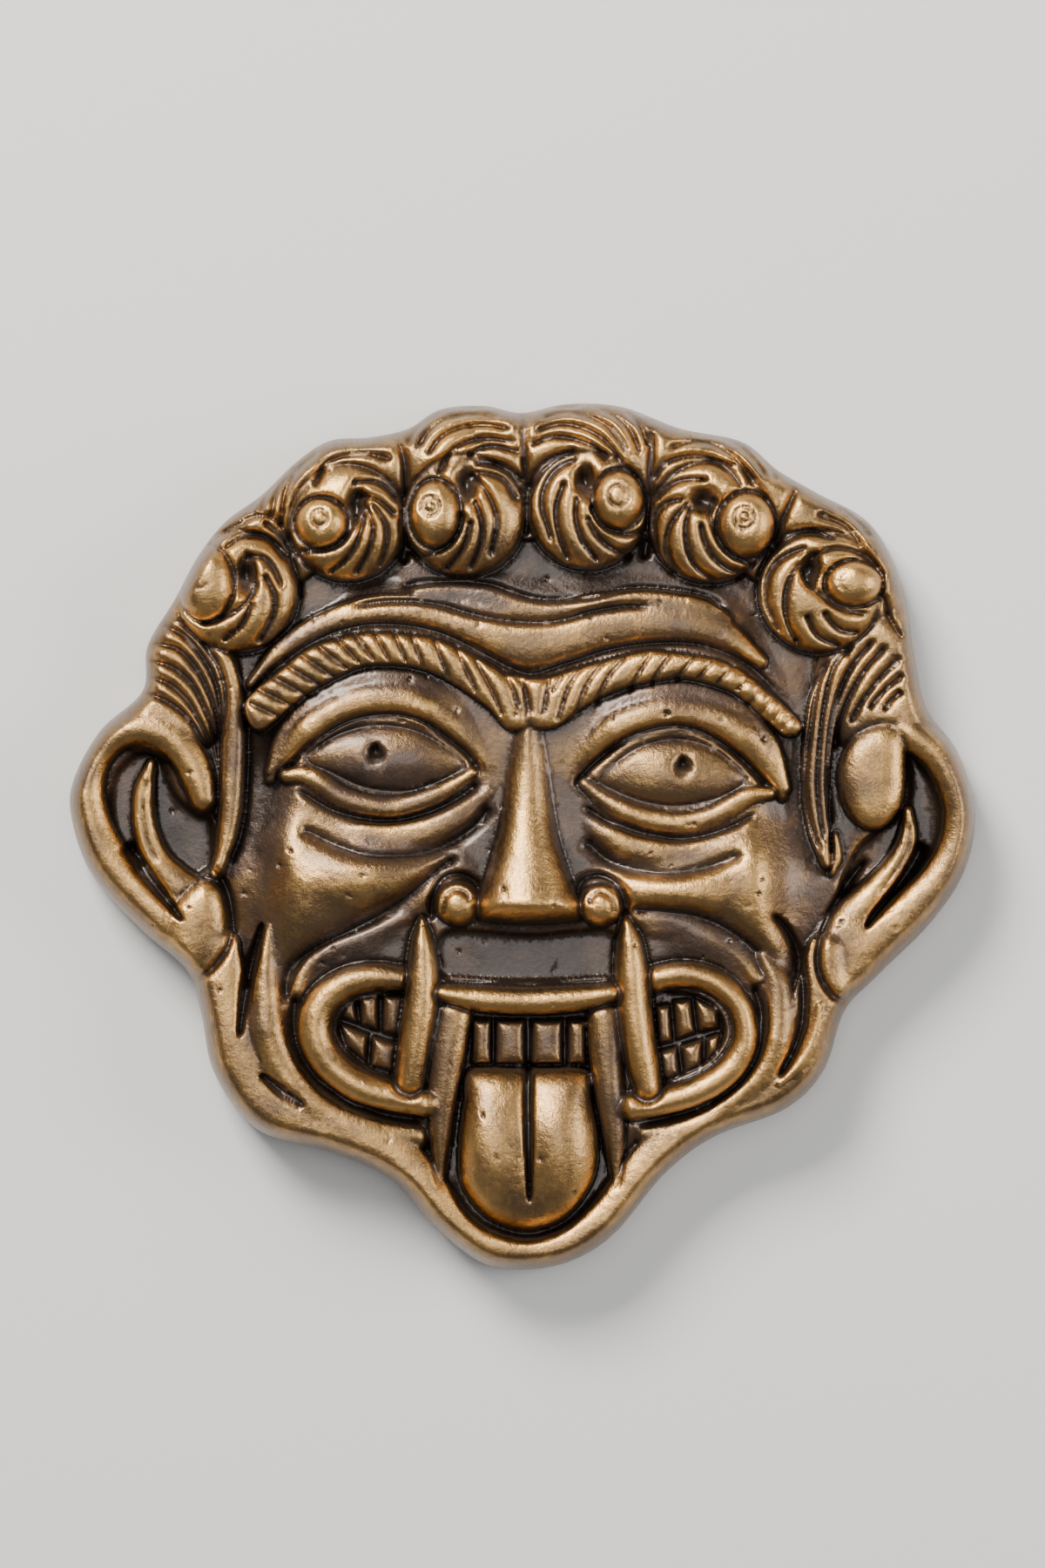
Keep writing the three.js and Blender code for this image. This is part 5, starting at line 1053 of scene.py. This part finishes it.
def carve_flaws(relief):
    """The faint ripple of a hand-finished casting, and small casting pits: some where the photo shows
    them, the rest scattered."""
    chance = np.random.default_rng(FLAW_SEED)
    for spread, height in RIPPLES:
        ripple = blurred(chance.standard_normal(relief.height.shape), spread)
        relief.height += height * ripple / ripple.std()
    for x, y, radius in PITS:
        relief.hollow((x, y, radius, radius), radius)
    reach = [HALF_X - SCATTER_MARGIN, HALF_Y - SCATTER_MARGIN]
    for x, y in chance.uniform(-1, 1, (SCATTERED_PITS, 2)) * reach:
        radius = chance.uniform(*SCATTERED_RADIUS)
        relief.hollow((x, y, radius, radius), radius * SCATTERED_DEPTH)


def carved_relief(sizes):
    """The whole carving, softened a little as casting softens it."""
    relief = Relief()
    carve_ground(relief)
    carve_temples(relief, sizes)
    carve_curls(relief, sizes)
    carve_forehead(relief, sizes)
    carve_cheeks(relief)
    relief.roll(JAW, JAW_WIDTH, JAW_TOP, drop=1.4)
    for eye in EYES:
        carve_eye(relief, eye, sizes)
    carve_brows(relief, sizes)
    carve_mouth(relief)
    relief.groove(JAW_CUT, JAW_CUT_WIDTH, depth=1.4, power=1)
    relief.roll(JAW_RIDGE, JAW_RIDGE_WIDTH, crest=JAW_TOP + 0.6, drop=1)
    carve_nose(relief)
    carve_ears(relief)
    relief.height = blurred(relief.height, CASTING_BLUR)
    carve_flaws(relief)
    return relief


def round_edge(relief, border, reach):
    """Lets the carving down to the border: the edge's height plus the rest times a quarter round of the
    distance to the border."""
    surface = np.full_like(relief.height, EDGE_HEIGHT)
    window, within, gap = relief.inside(border, reach)
    carved = EDGE_HEIGHT + (relief.height[window] - EDGE_HEIGHT) * rounded(gap / reach)
    surface[window] = np.where(within, carved, EDGE_HEIGHT)
    return surface


def sampled(relief, field, x, y):
    """The field at any points, as the mean of the four cells round each, weighted by nearness. A point
    past the last cell is taken as just within it."""
    column = np.clip((x + HALF_X) / PITCH, 0, len(relief.xs) - 1.001)
    row = np.clip((y + HALF_Y) / PITCH, 0, len(relief.ys) - 1.001)
    i, j = column.astype(int), row.astype(int)
    s, t = column - i, row - j
    lower = field[j, i] * (1 - s) + field[j, i + 1] * s
    upper = field[j + 1, i] * (1 - s) + field[j + 1, i + 1] * s
    return lower * (1 - t) + upper * t


def tone_field(relief, surface):
    """The tone of the surface: how far the patina is rubbed through, as the base plus at each scale a weight
    times the height over the blurred surface, held between two limits; less each darker oval's amount times
    one minus the squared share of its radius."""
    tone_level = WEAR_BASE + np.zeros_like(surface)
    for spread, weight, least, most in WEAR_SCALES:
        tone_level += np.clip(weight * (surface - blurred(surface, spread)), least, most)
    for *oval, amount in DARKER_OVALS:
        window, out = relief.ellipse(oval)
        tone_level[window] -= amount * np.maximum(0, 1 - out * out)
    return tone_level


def wrapped_grid(border):
    """A square grid of points wrapped on to the outline, ring by ring. A point at (u, v) of the square
    from -1 to 1 lies at the angle of (u, v), out by the larger of |u| and |v| times the border's own
    radius at that angle."""
    u = np.linspace(-1, 1, STEPS + 1)[None, :]
    v = np.linspace(-1, 1, STEPS + 1)[:, None]
    ring = np.maximum(np.abs(u), np.abs(v))
    angle = np.arctan2(v, u)
    border_angle = np.arctan2(border[:, 1], border[:, 0])
    order = np.argsort(border_angle)
    radius = np.hypot(border[order, 0], border[order, 1])
    radius = ring * np.interp(angle, border_angle[order], radius, period=2 * math.pi)
    return radius * np.cos(angle), radius * np.sin(angle), ring


def departures(x, y, z):
    """How far each grid point stands off the middle of the line that would replace it, over the
    surface's own steepness there, and at least as far as any finer point that hangs on it. Points are
    taken from the finest spacing up, all of one spacing at once."""
    down, across = np.gradient(z / GRID_STEP)
    steep = np.sqrt(1 + down**2 + across**2)
    off = np.zeros_like(z)

    def middles(rows, columns, down, across):
        """The departures of the points at the rows and columns from the ends at the given offsets."""
        j, i = rows[:, None], columns[None, :]
        ends = [(j - down, i - across), (j + down, i + across)]
        bend = np.abs(z[j, i] - (z[ends[0]] + z[ends[1]]) / 2) / steep[j, i]
        side_x = x[j, i] - (x[ends[0]] + x[ends[1]]) / 2
        side_y = y[j, i] - (y[ends[0]] + y[ends[1]]) / 2
        rim = (j == 0) | (j == STEPS) | (i == 0) | (i == STEPS)
        return np.where(rim, np.hypot(side_x, side_y), bend)

    def deepest(rows, columns, reach, spots):
        """The largest departure among the finer points at the offsets of each row and column."""
        found = np.zeros((len(rows), len(columns)))
        for down, across in spots:
            j = rows[:, None] + down * reach
            i = columns[None, :] + across * reach
            real = (j >= 0) & (j <= STEPS) & (i >= 0) & (i <= STEPS)
            finer = off[np.clip(j, 0, STEPS), np.clip(i, 0, STEPS)]
            found = np.maximum(found, np.where(real, finer, 0))
        return found

    def settle(rows, columns, ends, reach, spots):
        """Sets the points to their own departures or the deepest finer one, whichever is larger."""
        bend = middles(rows, columns, *ends)
        off[rows[:, None], columns[None, :]] = np.maximum(bend, deepest(rows, columns, reach, spots))

    straight = [(0, -1), (0, 1), (-1, 0), (1, 0)]
    span = 2
    while span <= STEPS:
        half = span // 2
        even = np.arange(0, STEPS + 1, span)
        odd = np.arange(half, STEPS + 1, span)
        diagonal = [(-1, -1), (1, -1), (-1, 1), (1, 1)] if span > 2 else []
        settle(even, odd, (0, half), span // 4, diagonal)
        settle(odd, even, (half, 0), span // 4, diagonal)
        for first_row in range(2):
            for first_column in range(2):
                rows, columns = odd[first_row::2], odd[first_column::2]
                if len(rows) and len(columns):
                    lean = half if first_row == first_column else -half
                    settle(rows, columns, (lean, half), half, straight)
        span *= 2
    return off


def split_triangles(off, tolerance):
    """Splits the square's two right triangles at the middle of their long sides, all of one size at
    once, for as long as that middle stands further off than the tolerance. Returns the corners as
    (row, column), three to a triangle, anticlockwise."""
    end = STEPS
    pending = np.array([[[0, 0], [end, end], [0, end]], [[end, end], [0, 0], [end, 0]]])
    done = []
    while len(pending):
        a, b, c = pending[:, 0], pending[:, 1], pending[:, 2]
        total = a + b
        whole = (total % 2 == 0).all(axis=1)
        middle = total // 2
        split = whole & (off[middle[:, 0], middle[:, 1]] > tolerance)
        done.append(np.stack([a, c, b], axis=1)[~split])
        a, b, c, middle = a[split], b[split], c[split], middle[split]
        pending = np.concatenate([np.stack([c, a, middle], axis=1), np.stack([b, c, middle], axis=1)])
    return np.concatenate(done)


def fitting_tolerance(off, most):
    """The least tolerance, between none and a millimetre, that keeps the triangles within the given
    number. It is found by halving."""
    low, high = 0.0, 1.0
    for _ in range(HALVINGS):
        tolerance = (low + high) / 2
        if len(split_triangles(off, tolerance)) > most:
            low = tolerance
        else:
            high = tolerance
    return high


def mask_mesh(settings):
    """The face as a closed mesh, with the tone of each point of it: how worn it is, and painted shade towards
    the border. The drawing is scaled to the width of the solid, and its heights stay as they are."""
    sizes = settings.sizes
    border = spline(OUTLINE, True)
    width = np.ptp(border[:, 0])
    scale = (CAD_HIGH.x - CAD_LOW.x) / MM / width
    relief = carved_relief(sizes)
    surface = round_edge(relief, border, sizes.edge_round / MM / scale)
    x, y, ring = wrapped_grid(border)
    z = np.where(ring >= 1, EDGE_HEIGHT, sampled(relief, surface, x, y))
    off = departures(x, y, z)
    corners = split_triangles(off, fitting_tolerance(off, sizes.most_triangles))
    flat = corners[..., 0] * (STEPS + 1) + corners[..., 1]
    used, faces = np.unique(flat, return_inverse=True)
    faces = faces.reshape(-1, 3)
    px, py, pz = x.ravel()[used], y.ravel()[used], z.ravel()[used]
    on_rim = np.nonzero(ring.ravel()[used] >= 1)[0]
    on_rim = on_rim[np.argsort(np.arctan2(py[on_rim], px[on_rim]))]

    tone_level = sampled(relief, tone_field(relief, surface), px, py)
    # Near the border the tone eases to that of the side, which is painted shade.
    outward = eased((ring.ravel()[used] - SIDE_START) / (1 - SIDE_START))
    tone_level += (SIDE_PAINTED_SHADE - tone_level) * outward
    return assembled(px * scale, py * scale, pz, faces, on_rim, tone_level)


def assembled(px, py, pz, faces, rim, tone_level):
    """Adds the upright border, its eased foot and the flat back to the carved side. Each ring of the
    border is the rim's points at one height, drawn in towards the middle by the ring's own amount."""
    rings = [(EDGE_HEIGHT / 2, 0), (FOOT_EASE, 0), (FOOT_EASE / 3, FOOT_EASE / 3), (0, FOOT_EASE)]
    rim_x, rim_y = px[rim], py[rim]
    out = np.hypot(rim_x, rim_y)
    points = [np.column_stack([px, py, pz])]
    loops = [rim]
    start = len(px)
    count = len(rim)
    for height, inset in rings:
        shrink = 1 - inset / out
        points.append(np.column_stack([rim_x * shrink, rim_y * shrink, np.full(count, height)]))
        loops.append(start + np.arange(count))
        start += count
    points = np.concatenate(points)
    walls = []
    for upper, lower in zip(loops[:-1], loops[1:]):
        walls.append(np.column_stack([upper, lower, np.roll(lower, -1), np.roll(upper, -1)]))
    walls = np.concatenate(walls)
    back = loops[-1][::-1]
    middle_x = (px.max() + px.min()) / 2
    middle_y = (py.max() + py.min()) / 2
    points = (points - [middle_x, middle_y, 0]) * MM
    points += [(CAD_LOW.x + CAD_HIGH.x) / 2, (CAD_LOW.y + CAD_HIGH.y) / 2, CAD_LOW.z]

    mesh = bpy.data.meshes.new("gorgon_face")
    sides = np.concatenate([np.full(len(faces), 3), np.full(len(walls), 4), [len(back)]])
    order = np.concatenate([faces.ravel(), walls.ravel(), back])
    mesh.vertices.add(len(points))
    mesh.vertices.foreach_set("co", points.astype(np.float32).ravel())
    mesh.loops.add(len(order))
    mesh.loops.foreach_set("vertex_index", order.astype(np.int32))
    mesh.polygons.add(len(sides))
    starts = np.concatenate([[0], np.cumsum(sides)[:-1]])
    mesh.polygons.foreach_set("loop_start", starts.astype(np.int32))
    mesh.polygons.foreach_set("use_smooth", np.ones(len(sides), bool))
    # The walls and the back take the side's tone, which is painted shade.
    wear_and_shade = np.concatenate([tone_level, np.full(len(points) - len(tone_level), SIDE_PAINTED_SHADE)])
    mesh.attributes.new("wear_and_shade", "FLOAT", "POINT").data.foreach_set("value", wear_and_shade.astype(np.float32))
    mesh.update(calc_edges=True)
    if mesh.validate():
        raise RuntimeError("the face's mesh had faults")
    return mesh


def grey(value):
    """The grey of that value."""
    return (value, value, value)


def ramp(nodes, stops):
    """A colour ramp with the given (place, colour) stops."""
    node = nodes.new("ShaderNodeValToRGB")
    elements = node.color_ramp.elements
    while len(elements) < len(stops):
        elements.new(0.5)
    for element, (place, colour) in zip(elements, stops):
        element.position = place
        element.color = (*colour, 1)
    return node


def antique_brass(finish):
    """Cast brass with a dark patina in the hollows, rubbed through to bright metal on what stands out. The
    mesh's attribute of wear, with painted shade on the border's side, roughened by noise, picks the tone
    between the two."""
    material = bpy.data.materials.new("antique_brass")
    material.use_nodes = True
    nodes, links = material.node_tree.nodes, material.node_tree.links
    shader = nodes["Principled BSDF"]
    place = nodes.new("ShaderNodeTexCoord")
    # The attribute holds the wear, with painted shade on the border's side.
    wear_and_shade = nodes.new("ShaderNodeAttribute")
    wear_and_shade.attribute_name = "wear_and_shade"

    def noise(size, detail, roughness=0.5, stretch=(1, 1, 1)):
        """Noise whose blotches are about the given size in metres, drawn out by the stretch."""
        mapping = nodes.new("ShaderNodeMapping")
        mapping.inputs["Scale"].default_value = [1 / s for s in stretch]
        links.new(place.outputs["Object"], mapping.inputs["Vector"])
        node = nodes.new("ShaderNodeTexNoise")
        node.inputs["Scale"].default_value = 1 / size
        node.inputs["Detail"].default_value = detail
        node.inputs["Roughness"].default_value = roughness
        links.new(mapping.outputs["Vector"], node.inputs["Vector"])
        return node

    def math_node(operation, *values, clamp=False):
        """A sum or product of the values, each a number or a node's output."""
        node = nodes.new("ShaderNodeMath")
        node.operation = operation
        node.use_clamp = clamp
        for socket, value in zip(node.inputs, values):
            if isinstance(value, (int, float)):
                socket.default_value = value
            else:
                links.new(value, socket)
        return node.outputs["Value"]

    def driven(socket, places, colours):
        """Lets the tone set a socket of the shader, through a ramp of the colours at their places."""
        node = ramp(nodes, list(zip(places, colours)))
        links.new(tone, node.inputs["Fac"])
        links.new(node.outputs["Color"], shader.inputs[socket])

    def bump(source, distance):
        """A bump node that raises the surface by a noise, up to the distance."""
        node = nodes.new("ShaderNodeBump")
        node.inputs["Distance"].default_value = distance
        links.new(source.outputs["Fac"], node.inputs["Height"])
        return node

    blotch = noise(BLOTCH_SIZE, detail=5, roughness=0.6)
    speck = noise(SPECK_SIZE, detail=4, roughness=0.7)
    brushing = noise(BRUSH_SIZE, detail=3, roughness=0.6, stretch=BRUSH_STRETCH)
    ragged = math_node("MULTIPLY_ADD", blotch.outputs["Fac"], BLOTCH_WEIGHT, BLOTCH_SHIFT)
    fine = math_node("MULTIPLY_ADD", speck.outputs["Fac"], SPECK_WEIGHT, -SPECK_WEIGHT / 2)
    tone = math_node("ADD", wear_and_shade.outputs["Fac"], ragged)
    tone = math_node("ADD", tone, fine, clamp=True)
    driven("Base Color", TONES, (finish.black, finish.brown, finish.bronze, finish.gold))
    driven("Metallic", FILM, (grey(FILM_METAL), grey(1)))
    least = finish.roughness - GLOSS_RANGE / 2
    gloss = math_node("MULTIPLY_ADD", brushing.outputs["Fac"], GLOSS_RANGE, least)
    links.new(gloss, shader.inputs["Roughness"])
    driven("Coat Weight", FILM, (grey(finish.wax), grey(finish.wax / WAX_THINNING)))
    shader.inputs["Coat Roughness"].default_value = WAX_ROUGHNESS

    grain = bump(speck, finish.grain)
    brushed = bump(brushing, finish.brushing)
    links.new(tone, brushed.inputs["Strength"])
    links.new(grain.outputs["Normal"], brushed.inputs["Normal"])
    links.new(brushed.outputs["Normal"], shader.inputs["Normal"])
    return material


class GorgonSizes(PropertyGroup):
    """Sizes of the casting and depths of its chased lines."""

    edge_round: FloatProperty(
        name="Edge rounding", description="How far in from the border the carving is let down to it",
        default=2.3 * MM, unit="LENGTH",
    )
    lock_cut: FloatProperty(
        name="Lock cut", description="Depth of the lines between locks of hair",
        default=1.4 * MM, unit="LENGTH",
    )
    crease_cut: FloatProperty(
        name="Crease cut", description="Depth of the creases between two curls",
        default=1.4 * MM, unit="LENGTH",
    )
    brow_cut: FloatProperty(
        name="Brow cut", description="Depth of the slanting cuts in the brows",
        default=0.9 * MM, unit="LENGTH",
    )
    wrinkle_cut: FloatProperty(
        name="Wrinkle cut", description="Depth of the wrinkles on the forehead and under the eyes",
        default=1.1 * MM, unit="LENGTH",
    )
    pupil_cut: FloatProperty(
        name="Pupil depth", description="Depth of the drilled pupils", default=1.8 * MM, unit="LENGTH",
    )
    most_triangles: IntProperty(
        name="Most triangles", description="Most triangles on the carved side", default=185000,
    )


class GorgonFinish(PropertyGroup):
    """Colours and surface of the antique brass."""

    black: FloatVectorProperty(
        name="Black", description="Patina deep in the hollows", subtype="COLOR",
        default=(0.028, 0.017, 0.011),
    )
    brown: FloatVectorProperty(
        name="Brown", description="Patina on the sheltered ground", subtype="COLOR",
        default=(0.085, 0.05, 0.031),
    )
    bronze: FloatVectorProperty(
        name="Bronze", description="Metal with a thin brown film", subtype="COLOR",
        default=(0.23, 0.14, 0.066),
    )
    gold: FloatVectorProperty(
        name="Gold", description="Brass rubbed bright", subtype="COLOR", default=(0.56, 0.324, 0.112),
    )
    roughness: FloatProperty(
        name="Roughness", description="How matt the metal is", default=0.34, min=0, max=1,
    )
    wax: FloatProperty(name="Wax", description="Weight of the clear wax", default=0.4, min=0, max=1)
    grain: FloatProperty(
        name="Grain", description="Height of the cast grain", default=0.11 * MM, unit="LENGTH",
    )
    brushing: FloatProperty(
        name="Brushing", description="Height of the brush marks", default=0.02 * MM, unit="LENGTH",
    )


class GorgonStage(PropertyGroup):
    """The camera, the lights and the floor."""

    view_height: FloatProperty(
        name="View height", description="Height of the picture at the face", default=0.18, unit="LENGTH",
    )
    view_middle: FloatProperty(
        name="View middle", description="How far up the face the picture's middle lies",
        default=0.006, unit="LENGTH",
    )
    distance: FloatProperty(
        name="Camera distance", description="From the camera to the face", default=0.8, unit="LENGTH",
    )
    floor_size: FloatProperty(
        name="Floor", description="Width of the floor", default=3.0, unit="LENGTH",
    )
    floor_colour: FloatVectorProperty(
        name="Floor colour", description="Pale floor", subtype="COLOR", default=(0.72, 0.71, 0.69),
    )
    key_power: FloatProperty(name="Key light", description="Power of the main light", default=12, min=0)
    fill_power: FloatProperty(name="Fill light", description="Power of the side light", default=3, min=0)
    top_power: FloatProperty(name="Top light", description="Power of the overhead", default=3, min=0)
    sky: FloatProperty(name="Sky", description="Strength of the even light", default=0.25, min=0)


class GorgonSettings(PropertyGroup):
    """Everything that a user would change."""

    sizes: PointerProperty(type=GorgonSizes, name="Sizes", description="Sizes of the casting")
    finish: PointerProperty(type=GorgonFinish, name="Finish", description="Colours and surface")
    stage: PointerProperty(type=GorgonStage, name="Stage", description="Camera, lights and floor")


class GORGON_OT_mask(Operator):
    """Makes the brass face around its solid core"""

    bl_idname = "gorgon.mask"
    bl_label = "Gorgon mask"
    bl_options = {"REGISTER", "UNDO"}

    def execute(self, context):
        settings = context.scene.gorgon_mask
        face = bpy.data.objects.new("gorgon_face", mask_mesh(settings))
        context.scene.collection.objects.link(face)
        face.data.materials.append(antique_brass(settings.finish))
        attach(face, "root")
        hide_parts("gorgon_mask")
        return {"FINISHED"}


def soft_light(context, name, place, width, colour, power):
    """A square soft light that faces the mask."""
    light = bpy.data.lights.new(name, "AREA")
    light.shape = "SQUARE"
    light.size = width
    light.energy = power
    light.color = colour
    lamp = bpy.data.objects.new(name, light)
    lamp.location = place
    lamp.rotation_euler = (-Vector(place)).to_track_quat("-Z", "Y").to_euler()
    context.scene.collection.objects.link(lamp)


class GORGON_OT_stage(Operator):
    """Makes the floor, the lights and the camera"""

    bl_idname = "gorgon.stage"
    bl_label = "Floor, lights and camera"
    bl_options = {"REGISTER", "UNDO"}

    def execute(self, context):
        stage = context.scene.gorgon_mask.stage
        half = stage.floor_size / 2
        mesh = bpy.data.meshes.new("floor")
        level = CAD_LOW.z
        corners = [(-half, -half, level), (half, -half, level), (half, half, level), (-half, half, level)]
        mesh.from_pydata(corners, [], [(0, 1, 2, 3)])
        floor = bpy.data.objects.new("floor", mesh)
        context.scene.collection.objects.link(floor)
        paper = bpy.data.materials.new("pale_floor")
        paper.use_nodes = True
        shader = paper.node_tree.nodes["Principled BSDF"]
        shader.inputs["Base Color"].default_value = (*stage.floor_colour, 1)
        shader.inputs["Roughness"].default_value = FLOOR_ROUGHNESS
        mesh.materials.append(paper)

        for light, power in zip(LIGHTS, (stage.key_power, stage.fill_power, stage.top_power)):
            soft_light(context, *light, power)
        world = bpy.data.worlds.new("studio")
        world.use_nodes = True
        background = world.node_tree.nodes["Background"]
        background.inputs["Color"].default_value = (*SKY_COLOUR, 1)
        background.inputs["Strength"].default_value = stage.sky
        context.scene.world = world

        camera = bpy.data.cameras.new("camera")
        camera.lens = camera.sensor_width * stage.distance / stage.view_height
        camera.clip_start = NEAREST_VIEW
        holder = bpy.data.objects.new("camera", camera)
        holder.location = (0, stage.view_middle, CAD_LOW.z + stage.distance)
        context.scene.collection.objects.link(holder)
        context.scene.camera = holder
        return {"FINISHED"}


class GORGON_PT_panel(Panel):
    """Lists the pieces and their settings"""

    bl_idname = "GORGON_PT_panel"
    bl_label = "Gorgon Mask"
    bl_space_type = "VIEW_3D"
    bl_region_type = "UI"
    bl_category = "Gorgon Mask"

    def draw(self, context):
        settings = context.scene.gorgon_mask
        for group in (settings.sizes, settings.finish, settings.stage):
            box = self.layout.box()
            for name in group.bl_rna.properties.keys():
                if name not in ("rna_type", "name"):
                    box.prop(group, name)
        self.layout.operator(GORGON_OT_mask.bl_idname)
        self.layout.operator(GORGON_OT_stage.bl_idname)


CLASSES = (
    GorgonSizes,
    GorgonFinish,
    GorgonStage,
    GorgonSettings,
    GORGON_OT_mask,
    GORGON_OT_stage,
    GORGON_PT_panel,
)


def register():
    """Registers the classes and gives the scene its settings."""
    for cls in CLASSES:
        bpy.utils.register_class(cls)
    bpy.types.Scene.gorgon_mask = PointerProperty(type=GorgonSettings)


def unregister():
    """Takes back what register did."""
    del bpy.types.Scene.gorgon_mask
    for cls in reversed(CLASSES):
        bpy.utils.unregister_class(cls)


def main():
    """Makes every piece and the stage."""
    register()
    bpy.ops.gorgon.mask()
    bpy.ops.gorgon.stage()


if __name__ == "__main__":
    main()
